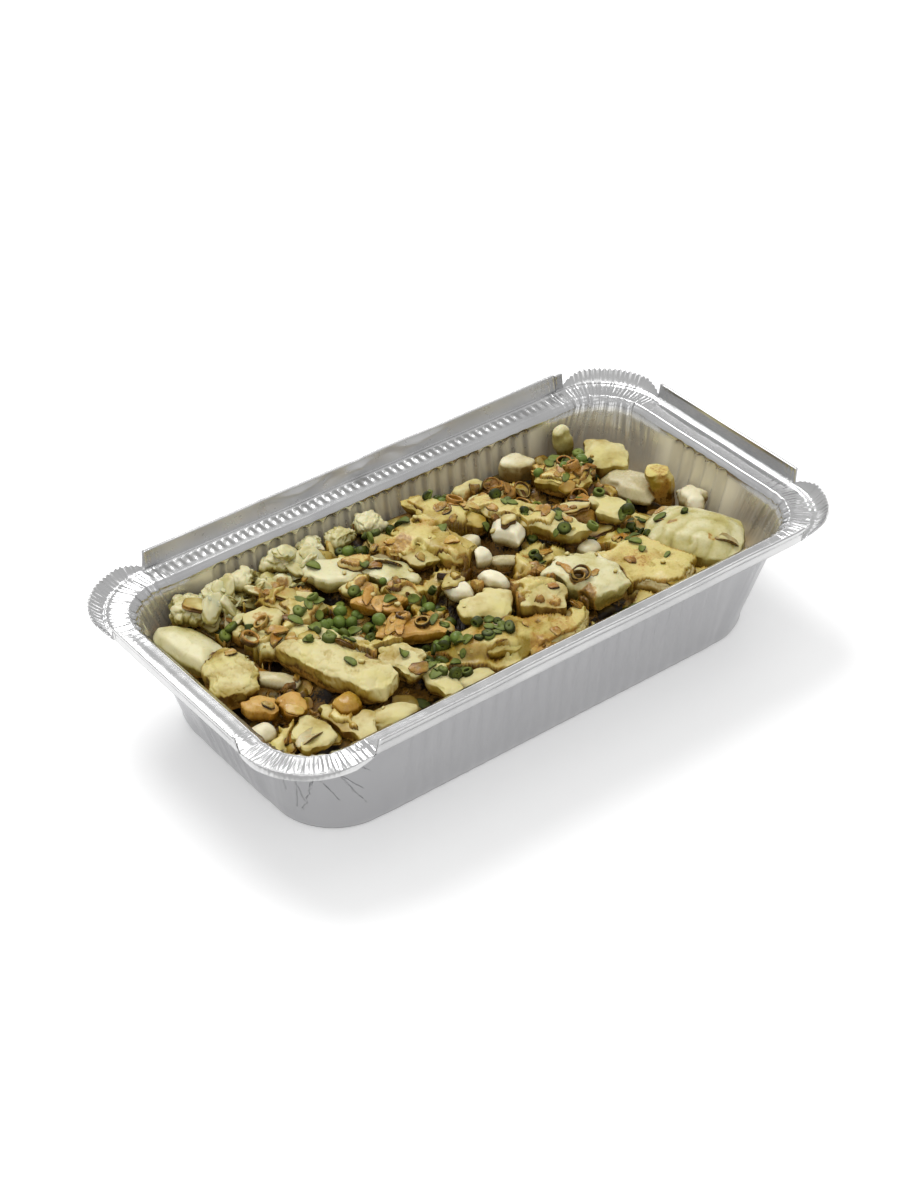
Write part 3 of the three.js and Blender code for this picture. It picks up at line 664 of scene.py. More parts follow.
def food_material(name, deep, middle, light, gloss, soft, grain, browned=0.5, sauced=0.5):
    """Food whose tone runs from painted shade in its hollows to painted light on its heights, with sauced
    and browned places.
    """
    m = Nodes(name)
    fine = m.noise(0.9, 4)
    tone = m.varied(m.value("tone"), m.noise(6.5, 3), 0.8)
    tone = m.varied(tone, fine, 0.08, clamp=True)
    body = m.ramp(tone, ((0.08, srgb(*deep)), (0.42, srgb(*middle)), (0.8, srgb(*light))))
    sauce = m.ramp(tone, ((0.08, srgb(*deep)), (0.42, srgb(150, 134, 44)), (0.85, srgb(208, 196, 116))))
    body = m.blend(m.spread(m.noise(9, 3, 0.6), 0.44, 0.62, 0.0, sauced), body, sauce)
    toast = m.varied(m.value("toast"), fine, 0.7)
    crust = m.ramp(toast, ((0.5, srgb(202, 160, 80)), (0.75, srgb(160, 116, 42)), (1.0, srgb(84, 58, 12))))
    body = m.blend(m.spread(toast, browned, browned + 0.22, 0.0, 0.9), body, crust)
    m.feed("Base Color", body)
    m.feed("Roughness", m.spread(fine, 0.3, 0.7, gloss - 0.08, gloss + 0.14))
    m.set(Subsurface_Weight=soft, Subsurface_Radius=(1.0, 0.6, 0.3), Subsurface_Scale=0.0016)
    m.set(Specular_IOR_Level=0.32)
    m.bump(((m.noise(2.6, 3), 3 * grain), (fine, 0.3 * grain)))
    return m.material


def herb_material(name, dark, light, gloss):
    """Leaf green, darker in places, with a fine uneven surface."""
    m = Nodes(name)
    tone = m.varied(m.value("tone"), m.noise(0.8, 3), 0.35)
    m.feed("Base Color", m.ramp(tone, ((0.15, srgb(*dark)), (0.85, srgb(*light)))))
    m.feed("Roughness", m.spread(m.noise(1.4, 2), 0.3, 0.7, gloss, gloss + 0.2))
    m.set(Specular_IOR_Level=0.22)
    m.bump(((m.noise(0.6, 3), 0.07),))
    return m.material


# Each food: its colour of painted shade in the hollows, its middle colour, and its colour of painted light
# on the heights; roughness; softness; grain in mm.
FOODS = {
    "cream": ((92, 60, 4), (166, 139, 58), (208, 197, 142), 0.42, 0.25, 0.05),
    "melt": ((88, 56, 2), (162, 130, 44), (206, 189, 120), 0.28, 0.3, 0.04),
    "pale_melt": ((86, 56, 2), (160, 130, 42), (204, 186, 112), 0.32, 0.3, 0.05),
    "white_bite": ((118, 94, 46), (192, 178, 126), (228, 221, 190), 0.3, 0.3, 0.02),
    "pale": ((122, 104, 40), (184, 174, 108), (215, 209, 168), 0.3, 0.35, 0.03),
    "grey_petal": ((98, 76, 32), (158, 142, 96), (194, 183, 144), 0.26, 0.35, 0.02),
    "baked_gold": ((94, 64, 8), (160, 130, 62), (196, 181, 130), 0.3, 0.3, 0.04),
    "orange_strip": ((104, 68, 4), (166, 118, 34), (198, 154, 80), 0.3, 0.3, 0.04),
    "amber": ((112, 74, 6), (166, 122, 34), (196, 158, 76), 0.2, 0.4, 0.02),
    "crust": ((48, 28, 2), (110, 72, 14), (166, 116, 42), 0.26, 0.25, 0.04),
    "sauce": ((30, 17, 3), (84, 58, 8), (158, 132, 56), 0.5, 0.2, 0.03),
}
SAUCED = {"white_bite": 0, "pale": 0.2, "grey_petal": 0.15, "orange_strip": 0.15}  # the others: a half
BROWNED = {"amber": 0.8, "sauce": 0.62}  # where browning sets in; the others: at a half


def food_looks():
    """The material of every kind of food, by name."""
    looks = {
        name: food_material(name, *food, BROWNED.get(name, 0.5), SAUCED.get(name, 0.5))
        for name, food in FOODS.items()
    }
    looks["herb"] = herb_material("herb", (36, 42, 4), (110, 122, 46), 0.35)
    looks["pea"] = herb_material("pea", (34, 46, 8), (110, 130, 56), 0.2)
    return looks


# ---------------------------------------------------------------- bites
BITE_VOXEL = 0.55
# Browned places: x, y, half width, strength.
BROWN_SPOTS = (
    (-62, 19.5, 3.2, 0.66), (-64.5, -8.5, 4.2, 0.45), (-50, -20.5, 2.2, 0.6), (-29.5, 14, 3.4, 0.8),
    (-9, 21, 5, 0.75), (-13, 25, 3.5, 0.6), (23.3, -24.6, 3.4, 1.0), (21, -30.3, 4, 0.85), (26, 23, 3, 0.5),
    (69.7, -32, 2.2, 0.7), (12, 30, 2.8, 0.6), (-71, 27, 3, 0.4), (-47, 33, 3.4, 0.75), (-54, 31.5, 3, 0.7),
    (46, -20, 3.5, 0.55), (60, 19, 4, 0.6), (35, 3, 3, 0.5), (7, -36, 5, 0.6), (-3, -38, 4, 0.7),
    (0, 6, 4, 0.5), (18, 30, 3, 0.7), (27, 33, 3, 0.65), (39, 29, 3.4, 0.8), (17, -12, 3, 0.66),
    (66, -20, 2, 0.8), (74, -28, 1.6, 0.7), (77, -18, 1.8, 0.7), (-49, 12, 3, 0.66), (-22, 22, 3, 0.62),
    (3, 24, 4, 0.6), (10, -30, 3, 0.66), (48, -24, 3, 0.6), (81, 4, 4, 0.62),
)


def stains(points):
    """How browned the points are by the places above."""
    total = np.zeros(len(points))
    wander = 1.5 * fractal(points, 3.5, 2, 51)
    for x, y, size, strength in BROWN_SPOTS:
        off = np.hypot(points[:, 0] - x, points[:, 1] - y) + wander
        total = np.maximum(total, strength * smooth_step(1.25 * size, 0.55 * size, off))
    return total


def shaded(skin, tone, toast):
    """Gives a skin its shader values; stains come from its place in the tray."""
    toast = np.maximum(np.clip(toast, 0, 1), stains(skin.points))
    skin.values = {"tone": np.clip(tone, 0, 1), "toast": toast}
    return skin


# How each kind of bite is worked: notches in its outline, as a share of its reach; its jagged edge
# and waves, in mm; how far its top is flattened; its scales; tone at rest; browning.
WORK = {
    "cream": dict(notch=0.17, jagged=1.2, waves=0.4, flat=0.9, scaly=0.2, tone=0.66, toast=0.2),
    "pale_melt": dict(notch=0.15, jagged=1.1, waves=0.4, flat=0.8, scaly=0.2, tone=0.64, toast=0.26),
    "white_bite": dict(notch=0.05, jagged=0.1, waves=0.15, flat=0.1, scaly=0.0, tone=0.8, toast=0.0),
    "grey_petal": dict(notch=0.06, jagged=0.2, waves=0.3, flat=0.3, scaly=0.0, tone=0.8, toast=0.05),
    "baked_gold": dict(notch=0.14, jagged=0.8, waves=0.4, flat=0.6, scaly=0.4, tone=0.62, toast=0.2),
    "orange_strip": dict(notch=0.2, jagged=1.1, waves=0.3, flat=0.9, scaly=0.3, tone=0.62, toast=0.2),
}
SMOOTH_BITES = ("ball_amber", "dumpling_large", "petal_left", "slope_right")
CRUMBLY_BITES = ("cube_back_right", "oval_upright", "crumble_right")
BACK_BITES = ("dumpling_back", "cheese_strip_back")
# What sets some bites apart, by how their names start; point is how far a bite narrows to its ends.
OWN_WORK = (
    (SMOOTH_BITES, dict(notch=0.06, jagged=0.2, flat=0.1, scaly=0.15)),
    (CRUMBLY_BITES, dict(notch=0.3, jagged=1.2, waves=0.6, tone=0.6)),
    (BACK_BITES, dict(notch=0.22, jagged=1.3, waves=0.8, flat=0.4, scaly=0.75, tone=0.8, toast=0.05)),
    (("wedge_left", "chunk_left", "star_herb"), dict(scaly=0.5, tone=0.72)),
    (("wedge_left",), dict(notch=0.05, jagged=0.6, toast=0.3)),
    (("dumpling_large",), dict(tone=0.58, toast=0.28)),
    (("bean",), dict(point=0.5)),
)
# Bites that lie on the melted cream, not under it.
BARE_BITES = SMOOTH_BITES + CRUMBLY_BITES + BACK_BITES + (
    "leaf_pale", "dome_right", "white_browned", "frayed_cream", "wedge_left", "egg_left", "chunk_left",
    "flake_corner", "star_herb",
)
PALE_BITES = ("dumpling", "cheese_strip_back", "petal_left", "oval_upright", "leaf_pale", "white_browned")
FOLD_PITCH = 6.2  # of the folds that curl round the large dumpling


def slot_of(node):
    return NODES[node].data.materials[0].name.split(".")[0]


def stays_bare(name):
    return name.startswith(BARE_BITES) or slot_of(name) in ("white_bite", "orange_strip")


def look_of(name):
    if name == "ball_amber":
        return "amber"
    return "pale" if name.startswith(PALE_BITES) else slot_of(name)


def remeshed(node):
    """A copy of a CAD solid with even, rounded facets, in mm."""
    obj = bpy.data.objects.new("work", NODES[node].data.copy())
    bpy.context.scene.collection.objects.link(obj)
    remesh = obj.modifiers.new("remesh", "REMESH")
    remesh.mode, remesh.voxel_size = "VOXEL", BITE_VOXEL * MM
    smooth = obj.modifiers.new("smooth", "SMOOTH")
    smooth.factor, smooth.iterations = 0.5, 3
    mesh = obj.evaluated_get(bpy.context.evaluated_depsgraph_get()).to_mesh()
    points = np.empty(3 * len(mesh.vertices), np.float32)
    mesh.vertices.foreach_get("co", points)
    mesh.calc_loop_triangles()
    faces = np.empty(3 * len(mesh.loop_triangles), np.int32)
    mesh.loop_triangles.foreach_get("vertices", faces)
    bpy.data.objects.remove(obj, do_unlink=True)
    return Skin(points.reshape(-1, 3) / MM, faces.reshape(-1, 3))


def notched(p, depth, point, seed):
    """Draws parts of a bite's outline in, so that it looks torn, and narrows it to its ends."""
    middle = p[:, :2].mean(0)
    flat = p[:, :2] - middle
    _, _, axes = np.linalg.svd(flat[:: max(1, len(flat) // 400)], full_matrices=False)
    local = flat @ axes.T
    reach = np.abs(local).max(0)
    unit = local / reach
    off = np.linalg.norm(unit, axis=1)
    around = unit / np.maximum(off, 1e-6)[:, None]
    long_side = max(1.0, reach[0] / reach[1])
    trace = np.column_stack([around[:, 0] * long_side, around[:, 1], 0.12 * p[:, 2]])
    wave = fractal(trace + 9.0 * seed, 1.2, 3, seed)
    pull = depth * smooth_step(-0.35, 0.75, wave) * smooth_step(0.15, 0.95, off)
    local = local * (1.06 - pull - (0.2 if point else 0.0))[:, None]
    local[:, 1] *= 1 - point * np.abs(unit[:, 0]) ** 1.5
    return np.column_stack([middle + local @ axes, p[:, 2]])


def worked(skin, notch, jagged, waves, flat, scaly, tone, toast, point=0, seed=0):
    """Gives a bite a torn outline and a flatter, scaly top, and makes it darker and browner towards its
    foot: partly sauce, partly painted shade.
    """
    skin.points = p = notched(skin.points, notch, point, seed)
    outward = skin.normals() * np.array([1, 1, 0])
    p = p + outward * (jagged * fractal(p * np.array([1, 1, 0.15]), 3.6, 2, seed + 3))[:, None]
    low, tall = p[:, 2].min(), np.ptp(p[:, 2])
    level = (p[:, 2] - low) / tall
    slab = np.where(level < 0.55, 1.36 * level, 0.75 + 0.3 * (level - 0.55))
    p[:, 2] = low + tall * (level + flat * (slab - level))
    roll = fractal(p, 8, 2, seed + 9)
    scale, seam = patchwork(p, 3.4, seed + 40)
    roll = roll + scaly * (0.8 * scale - 0.9 * seam)
    skin.points = p
    skin.points = p = p + skin.normals() * (waves * roll)[:, None]
    level = (p[:, 2] - low) / (p[:, 2].max() - low)
    # Darker and browner towards the foot: partly sauce, partly painted shade.
    sauce_and_shade_at_foot = smooth_step(0.62, 0.05, level)
    # Tone wanders at random, with painted light on the raised waves and painted shade in the seams between
    # the scales.
    shade = 0.26 * fractal(p, 9, 2, seed + 12) + 0.06 * roll + scaly * (0.1 * scale - 0.14 * seam)
    browned = toast * (0.6 + 0.6 * fractal(p, 6, 2, seed + 31)) + 0.34 * sauce_and_shade_at_foot
    return shaded(skin, tone + shade - 0.34 * sauce_and_shade_at_foot, browned)


def curled(skin):
    """Soft folds curling round a dumpling from its near end, darker and browner between them: partly
    browning, partly painted shade.
    """
    p, normal = skin.points, skin.normals()
    middle = p.mean(0)
    off = p - middle - np.array([-7, -6, 0])
    turn = np.hypot(off[:, 0], 1.4 * off[:, 1]) + 1.6 * np.arctan2(off[:, 1], off[:, 0])
    fold = np.abs(np.sin(math.pi * (turn + 1.2 * fractal(p, 6, 2, 61)) / FOLD_PITCH)) ** 0.6
    up = smooth_step(0.0, 0.5, normal[:, 2])
    skin.points = p + normal * (0.4 * up * (fold - 0.75))[:, None]
    # Painted shade, partly browning: darker and browner between the folds.
    skin.values["tone"] = np.clip(skin.values["tone"] - 0.2 * up * (1 - fold), 0, 1)
    skin.values["toast"] = np.clip(skin.values["toast"] + 0.2 * up * (1 - fold), 0, 1)
    return skin


def make_bites():
    """The skins of all bites, by the name of the CAD node each stands for."""
    skins = {}
    for index, name in enumerate(sorted(set(NODES) - {"foil_tray", "food_heap"})):
        work = dict(WORK[slot_of(name)])
        for names, own in OWN_WORK:
            if name.startswith(names):
                work.update(own)
        work["tone"] += 0.1 * math.sin(2.4 * index)
        skins[name] = worked(remeshed(name), **work, seed=3 * index)
    curled(skins["dumpling_large"])
    return skins


# ---------------------------------------------------------------- the heap's core
CORE_SINK = 1.3  # how far the core lies under the CAD heap's bare surface
CORE_STATIONS = 520
CORE_RINGS = 86
CORE_FLOOR = 1.2  # how high its underside is
WALL_CLEAR = 0.6  # between the food and the walls
# Hollows between the bites, sunk into the core and painted dark as shade: x, y, half length, half width.
HOLLOWS = (
    (13, 6, 9, 10), (2, -3, 5, 6), (-45, -36, 9, 6), (-76, 11, 5, 7), (-3, 34, 6, 4), (-79, -35, 9, 5),
    (-72, 17, 4, 5), (-89, 2, 3, 20), (-57, -3, 3, 6), (-60, 28, 5, 3), (-46, 22, 5, 4), (-37, 20, 5, 4),
    (-30, -24, 3, 3), (4, -1, 4, 4), (38, -10, 3, 4), (26, -36, 8, 3), (14, -14, 4, 4), (84, -8, 7, 4),
    (36, 38, 16, 3), (88, 8, 4, 8), (63, 33, 8, 3), (-2, -42, 30, 2), (44, -12, 3, 4), (-66, -14, 4, 4),
    (20, 20, 5, 2),
)


def hollow_at(x, y):
    depth = np.zeros_like(np.asarray(x, float))
    for cx, cy, rx, ry in HOLLOWS:
        off = np.sqrt(((x - cx) / rx) ** 2 + ((y - cy) / ry) ** 2)
        depth = np.maximum(depth, smooth_step(1.15, 0.5, off))
    return depth


def heap_height(x, y):
    """The bare heap, as the CAD core has it."""
    crown = 3.2 * swell(x + 8, y - 2, 60, 28)
    back_ridge = 3.0 * swell(x + 42, y - 38, 46, 14)
    left_dip = 4.5 * swell(x + 90, y - 2, 17, 40)
    far_hollow = 8.5 * swell(x - 95, y - 22, 24, 30)
    right_dip = 10 * swell(x - 99, y + 22, 15, 34)
    front_dip = 2.0 * swell(x, y + 50, 95, 11)
    ripple = 0.9 * np.cos(0.33 * x + 1.2 * np.sin(0.19 * y)) * np.cos(0.37 * y + 0.6)
    return 27 + crown + back_ridge - left_dip - far_hollow - right_dip - front_dip + ripple


def rounded_outline(level, count, inset):
    """Points at even angles of travel round a level's rounded rectangle."""
    hx, hy, r = level[0] - inset, level[1] - inset, level[2]
    straight = [2 * (hy - r), 2 * (hx - r)] * 2
    arc = r * math.pi / 2
    total = sum(straight) + 4 * arc
    points = []
    for k in range(count):
        s, q = total * k / count, 0
        while s >= straight[q] + arc:
            s, q = s - straight[q] - arc, q + 1
        reach, side = (hx, hy) if q % 2 == 0 else (hy, hx)
        x, y = reach, s - (side - r)
        if s >= straight[q]:
            s -= straight[q]
            x, y = reach - r + r * math.cos(s / r), side - r + r * math.sin(s / r)
        points.append(((x, y), (-y, x), (-x, -y), (y, -x))[q])
    return np.array(points)


def core_skin():
    """The heap under its bites: follows the tray's inside, closed below."""
    rim, foot, floor = (rounded_outline(level, CORE_STATIONS, WALL_CLEAR) for level in (LIP, FOOT, FLOOR))
    high = heap_height(*rim.T) - CORE_SINK
    share = np.clip((high - FOOT[3]) / (LIP[3] - FOOT[3]), 0, 1)[:, None]
    edge = foot + (rim - foot) * share
    shares = (np.arange(CORE_RINGS + 1) / CORE_RINGS)[1:]
    top = np.concatenate([edge * s for s in shares])
    z = heap_height(*top.T) - CORE_SINK
    flat = np.column_stack([top, z])
    gap = hollow_at(*top.T)
    knobs, seam = patchwork(flat, 5.0, 71)
    small, crack = patchwork(flat, 2.2, 72)
    relief = 0.7 * knobs - 0.6 * seam + 0.2 * small - 0.2 * crack + 0.7 * fractal(flat, 8, 2, 73)
    z = z + np.repeat(smooth_step(1.0, 0.93, shares), CORE_STATIONS) * (relief - 2.4 * gap)
    low = np.column_stack([foot, np.full(CORE_STATIONS, FOOT[3])])
    floor = np.column_stack([floor, np.full(CORE_STATIONS, CORE_FLOOR)])
    middle = [[0, 0, heap_height(0.0, 0.0) - CORE_SINK]]
    points = np.concatenate([middle, np.column_stack([top, z]), low, floor, [[0, 0, CORE_FLOOR]]])
    by_wall = smooth_step(9, 2, off_wall(*top.T))
    # Painted shade: darker in the seams between the knobs and far darker in the hollows between the bites;
    # paler near the walls.
    tone = 0.46 + 0.14 * knobs - 0.25 * seam + 0.16 * fractal(flat, 11, 3, 74) + 0.3 * by_wall - 0.62 * gap
    tone = np.concatenate([[0.5], tone, np.full(2 * CORE_STATIONS + 1, 0.2)])
    skin = Skin(points, ring_faces(CORE_RINGS + 2, CORE_STATIONS))
    return shaded(skin, tone, 0.42 + 0.45 * fractal(points, 9, 3, 75))


# ---------------------------------------------------------------- shapes of small things
def ball(level):
    """A unit ball of even triangles."""
    mesh = bpy.data.meshes.new("ball")
    work = bmesh.new()
    bmesh.ops.create_icosphere(work, subdivisions=level, radius=1)
    work.to_mesh(mesh)
    work.free()
    points = np.array([v.co[:] for v in mesh.vertices])
    faces = np.array([p.vertices[:] for p in mesh.polygons])
    bpy.data.meshes.remove(mesh)
    return points, faces


BALLS = {level: ball(level) for level in (2, 3, 4)}


def lump(size, rng, level=3, knobs=0.16, square=0.8):
    """An uneven lump of this length, width and height."""
    points, faces = BALLS[level]
    shape = np.sign(points) * np.abs(points) ** square
    shift = rng.uniform(-50, 50, 3)
    waves = 1 + 0.2 * noise(points + shift, 1.3) + knobs * fractal(points + shift, 0.62, 2, 4)
    # Painted shade and light: tone follows the knobs, paler on them and darker between them.
    return Skin(shape * waves[:, None] * np.array(size) / 2, faces, tone=0.62 + 0.55 * (waves - 1))


FLAKE_RINGS = (0.3, 0.58, 0.8, 0.93, 1.0)


def flake_faces(sides):
    """Faces of a flake: its top, the same turned over below, and the edge between them."""
    count, edge = 1 + len(FLAKE_RINGS) * sides, 1 + (len(FLAKE_RINGS) - 1) * sides
    i, after = np.arange(sides), (np.arange(sides) + 1) % sides
    top = [
        np.stack([a + i, a + sides + i, a + sides + after, a + after], 1) for a in range(1, edge, sides)
    ]
    under = [q[:, ::-1] + count for q in top]
    around = np.stack([edge + count + after, edge + count + i, edge + i, edge + after], 1)
    fan = np.stack([0 * i, 1 + i, 1 + after], 1)
    return [np.concatenate([fan, fan[:, ::-1] + count]), np.concatenate([*top, *under, around])]


def flake(length, width, thick, rng, curl, lobes, sides=22):
    """A curled chip of even thickness with a lobed outline and rounded edges."""
    angle = np.linspace(0, 2 * math.pi, sides, endpoint=False)
    phase, share = rng.uniform(0, 2 * math.pi, 6), rng.uniform(0.3, 1.0, 6)
    waves = (lobes * share[k] / (k + 1) ** 0.45 * np.cos((k + 2) * angle + phase[k]) for k in range(6))
    outline = 1 + sum(waves)
    shares = np.repeat(FLAKE_RINGS, sides)
    x = np.concatenate([[0], shares * np.tile(outline * np.cos(angle), len(FLAKE_RINGS))]) * length / 2
    y = np.concatenate([[0], shares * np.tile(outline * np.sin(angle), len(FLAKE_RINGS))]) * width / 2
    shares = np.concatenate([[0], shares])
    half = thick / 2 * (1 - 0.55 * shares**8)
    u, v = x / length * 2, y / width * 2
    spot = np.stack([u, v, 0 * u], 1) + rng.uniform(-50, 50, 3)
    z = curl * width * (0.42 * v**2 - 0.16 * u**2) + 0.07 * width * noise(spot, 0.8)
    points = np.concatenate([np.stack([x, y, z + half], 1), np.stack([x, y, z - half], 1)])
    # Painted shade: darker towards the rim and on the underside.
    tone = 0.62 - 0.2 * shares**5 + 0.16 * noise(spot, 0.5, 9)
    tone = np.concatenate([tone, tone - 0.25]) + rng.uniform(-0.12, 0.12)
    return Skin(points, flake_faces(sides), tone=tone)


def ring_slice(outer, wall, height, rng, sides=14):
    """A short tube with rounded ends: one slice of a hollow stalk."""
    angle = np.linspace(0, 2 * math.pi, sides, endpoint=False)
    squash = rng.uniform(0.72, 1.0)
    profile = [
        (outer, -0.36), (outer, 0.36), (outer - 0.3 * wall, 0.5), (outer - 0.75 * wall, 0.5),
        (outer - wall, 0.34), (outer - wall, -0.34), (outer - 0.75 * wall, -0.5), (outer - 0.3 * wall, -0.5),
    ]
    points = np.concatenate([
        np.stack([r * np.cos(angle), r * squash * np.sin(angle), np.full(sides, h * height)], 1)
        for r, h in profile
    ])
    points = points * (1 + 0.05 * noise(points + rng.uniform(-50, 50, 3), 1.5)[:, None])
    i, after = np.arange(sides), (np.arange(sides) + 1) % sides
    quads = []
    for k in range(len(profile)):
        a, b = k * sides, (k + 1) % len(profile) * sides
        quads.append(np.stack([a + i, a + after, b + after, b + i], 1))
    tone = np.repeat([0.32, 0.32, 0.5, 0.75, 0.3, 0.3, 0.75, 0.5], sides) + rng.uniform(-0.3, 0.3)
    return Skin(points, np.concatenate(quads), tone=tone)


# ---------------------------------------------------------------- laying things on the heap
class Ground:
    """What is there already, to lay the next things on."""

    def __init__(self, skins):
        self.skins = []
        self.add(skins)

    def add(self, skins):
        self.skins += skins
        whole = joined([Skin(s.points, s.triangles()) for s in self.skins])
        self.tree = BVHTree.FromPolygons(whole.points.tolist(), whole.faces[0].tolist())

    def under(self, x, y):
        """The highest place at a spot and the slope there. None where nothing is."""
        place, normal, _, _ = self.tree.ray_cast(Vector((x, y, 60)), Vector((0, 0, -1)))
        if place is None:
            return None
        return place, (normal if normal.z > 0 else -normal)

    def height(self, x, y):
        spot = self.under(x, y)
        return -1.0 if spot is None else spot[0].z


def inside_tray(x, y, margin):
    """Whether a spot is well inside the mouth of the tray."""
    hx, hy, r = LIP[0] - 1.6 - margin, LIP[1] - 1.6 - margin, LIP[2]
    cx, cy = max(abs(x) - (hx - r), 0), max(abs(y) - (hy - r), 0)
    return abs(x) < hx and abs(y) < hy and math.hypot(cx, cy) < r


def laid(skin, ground, x, y, rng, sink, lie=0.7, roll=0.0):
    """Turns a small thing by chance, tips it with the ground and sets it down. None off the heap."""
    spot = ground.under(x, y)
    reach = float(np.abs(skin.points[:, :2]).max())
    if spot is None or not inside_tray(x, y, 0.75 * reach):
        return None
    place, normal = spot
    up = (Vector((0, 0, 1)) * (1 - lie) + normal * lie).normalized()
    turn = Matrix.Rotation(rng.uniform(0, 2 * math.pi), 3, "Z")
    tip = Vector((0, 0, 1)).rotation_difference(up).to_matrix()
    turned = skin.points @ np.array(tip @ turn @ Matrix.Rotation(roll, 3, "X")).T
    low = float((turned @ np.array(up)).min())
    skin.points = turned + np.array(place - up * (low + sink))
    return skin


# ---------------------------------------------------------------- melted cream over the heap
MELT_CELL = 0.55
MELT_THICK = 0.95
MELT_MARGIN = 1.4  # kept clear of the walls
# Stretches that are surely covered: x, y, half length, half width, turn.
MELT_SHEETS = (
    (-12, -30, 13, 8, -20), (-24, -26, 9, 6, 0), (8, -37, 12, 5, 0), (50, -30, 15, 11, -60),
    (52, -14, 11, 6, -50), (30, 14, 15, 6, -60), (16, 27, 13, 7, 0), (-45, 31, 17, 6, -6),
    (-20, 26, 11, 7, 0), (60, 22, 10, 7, 0), (-30, 18, 7, 5, 0), (-60, 26, 8, 4, 0), (0, 5, 6, 5, 0),
    (33, -5, 7, 4, 0), (-62, -24, 9, 5, 30), (38, 22, 10, 4, -20), (70, 0, 8, 5, 0),
)


def spread_of(grid, reach, pick):
    """The highest or lowest value within a reach of each cell."""
    for axis in (0, 1):
        grid = pick.reduce([np.roll(grid, k, axis) for k in range(-reach, reach + 1)])
    return grid


def melt_cover(x, y, flat):
    """Above 0 where melted cream lies: patches with torn edges and holes, none in the hollows."""
    cover = 0.5 * fractal(flat, 15, 2, 91) + 0.3 * fractal(flat, 4.5, 3, 92) - 0.12
    for cx, cy, length, width, turn in MELT_SHEETS:
        c, s = math.cos(math.radians(turn)), math.sin(math.radians(turn))
        along, across = (x - cx) * c + (y - cy) * s, (y - cy) * c - (x - cx) * s
        cover = cover + 0.6 * smooth_step(1.3, 0.6, np.hypot(along / length, across / width))
    near, _, value = cells(flat, 7.5, 93)
    hole = smooth_step(0.34, 0.16, near) * (value > -0.3)
    return np.minimum(cover - 0.8 * hole - 1.2 * hollow_at(x, y), 0.15 * (off_wall(x, y) - MELT_MARGIN))


def off_wall(x, y):
    """How far inside the walls a place is, at the height of the heap's edge."""
    hx, hy, r, _ = wall_level(22)
    qx, qy = np.abs(x) - (hx - r), np.abs(y) - (hy - r)
    return r - np.hypot(np.maximum(qx, 0), np.maximum(qy, 0)) - np.minimum(np.maximum(qx, qy), 0)


def bridged_over(height):
    """The ground with its small gaps bridged, and smooth."""
    height = spread_of(spread_of(height, 4, np.maximum), 4, np.minimum)
    for _ in range(5):
        for axis in (0, 1):
            height = (np.roll(height, 1, axis) + 2 * height + np.roll(height, -1, axis)) / 4
    return height


def melt_skin(ground, bare):
    """Melted cream lying on the heap: it bridges small gaps and leaves the bare bites out."""
    xs, ys = (np.arange(-half, half, MELT_CELL) for half in LIP[:2])
    grids = np.meshgrid(xs, ys, indexing="ij")
    height = np.array([[ground.height(x, y) for y in ys] for x in xs])
    height = np.maximum(height, heap_height(*grids) - CORE_SINK - 3)
    keep_out = np.array([[bare.height(x, y) for y in ys] for x in xs]) > height - 0.4
    keep_out = spread_of(keep_out.astype(float), 1, np.maximum).ravel()
    bridged = bridged_over(height)
    steep = smooth_step(0.9, 1.8, np.hypot(*np.gradient(bridged, MELT_CELL)).ravel())
    lowest = (spread_of(height, 2, np.minimum) - 0.9).ravel()
    x, y = (grid.ravel() for grid in grids)
    flat = np.stack([x, y, 0 * x], 1)
    cover = melt_cover(x, y, flat) - 1.5 * keep_out - 0.9 * steep
    value, seam = patchwork(flat, 6.5, 94)
    thick = MELT_THICK * np.clip(cover / 0.1, 0, 1) ** 0.5 + 0.2 * fractal(flat, 8, 2, 95) * (cover > 0)
    on = bridged.ravel() + 0.1 + thick + 0.1 * value
    share = np.clip(-cover / 0.07, 0, 1)
    top = on + (lowest - on) * share
    under = np.minimum(top, lowest) - 0.6
    kept = ((cover > -0.12) & (off_wall(x, y) > 0.9)).reshape(height.shape)
    # Darker and browner where the sheet drops to its torn edges and holes: partly crust, partly painted
    # shade.
    tone = 0.62 + 0.2 * value - 0.1 * seam + 0.28 * fractal(flat, 12, 2, 96) - 0.1 * share
    toast = 0.18 + 0.5 * fractal(flat, 9, 3, 97) + 0.12 * smooth_step(0.08, -0.02, cover)
    return slab(x, y, top, under, kept, tone, toast)


# The four sides of a grid's cell: the way to the next cell, and the corners where each side
# starts and ends.
CELL_SIDES = (
    ((-1, 0), (0, 1), (0, 0)), ((1, 0), (1, 0), (1, 1)),
    ((0, -1), (0, 0), (1, 0)), ((0, 1), (1, 1), (0, 1)),
)


def slab(x, y, top, under, kept, tone, toast):
    """A closed sheet over the cells of a grid whose four corners are kept."""
    nx, ny = kept.shape
    cell = kept[:-1, :-1] & kept[1:, :-1] & kept[:-1, 1:] & kept[1:, 1:]
    i, j = np.nonzero(cell)
    lift = nx * ny
    quad = np.stack([(i + a) * ny + j + b for a, b in ((0, 0), (1, 0), (1, 1), (0, 1))], 1)
    faces = [quad, quad[:, ::-1] + lift]
    framed = np.pad(cell, 1)
    for (di, dj), *ends in CELL_SIDES:
        open_side = ~framed[i + 1 + di, j + 1 + dj]
        a, b = ((i[open_side] + ei) * ny + j[open_side] + ej for ei, ej in ends)
        faces.append(np.stack([b, a, a + lift, b + lift], 1))
    faces = np.concatenate(faces)
    used, compact = np.unique(faces, return_inverse=True)
    points = np.concatenate([np.stack([x, y, top], 1), np.stack([x, y, under], 1)])[used]
    skin = Skin(points, compact.reshape(faces.shape))
    return shaded(skin, np.tile(tone, 2)[used], np.tile(toast, 2)[used])


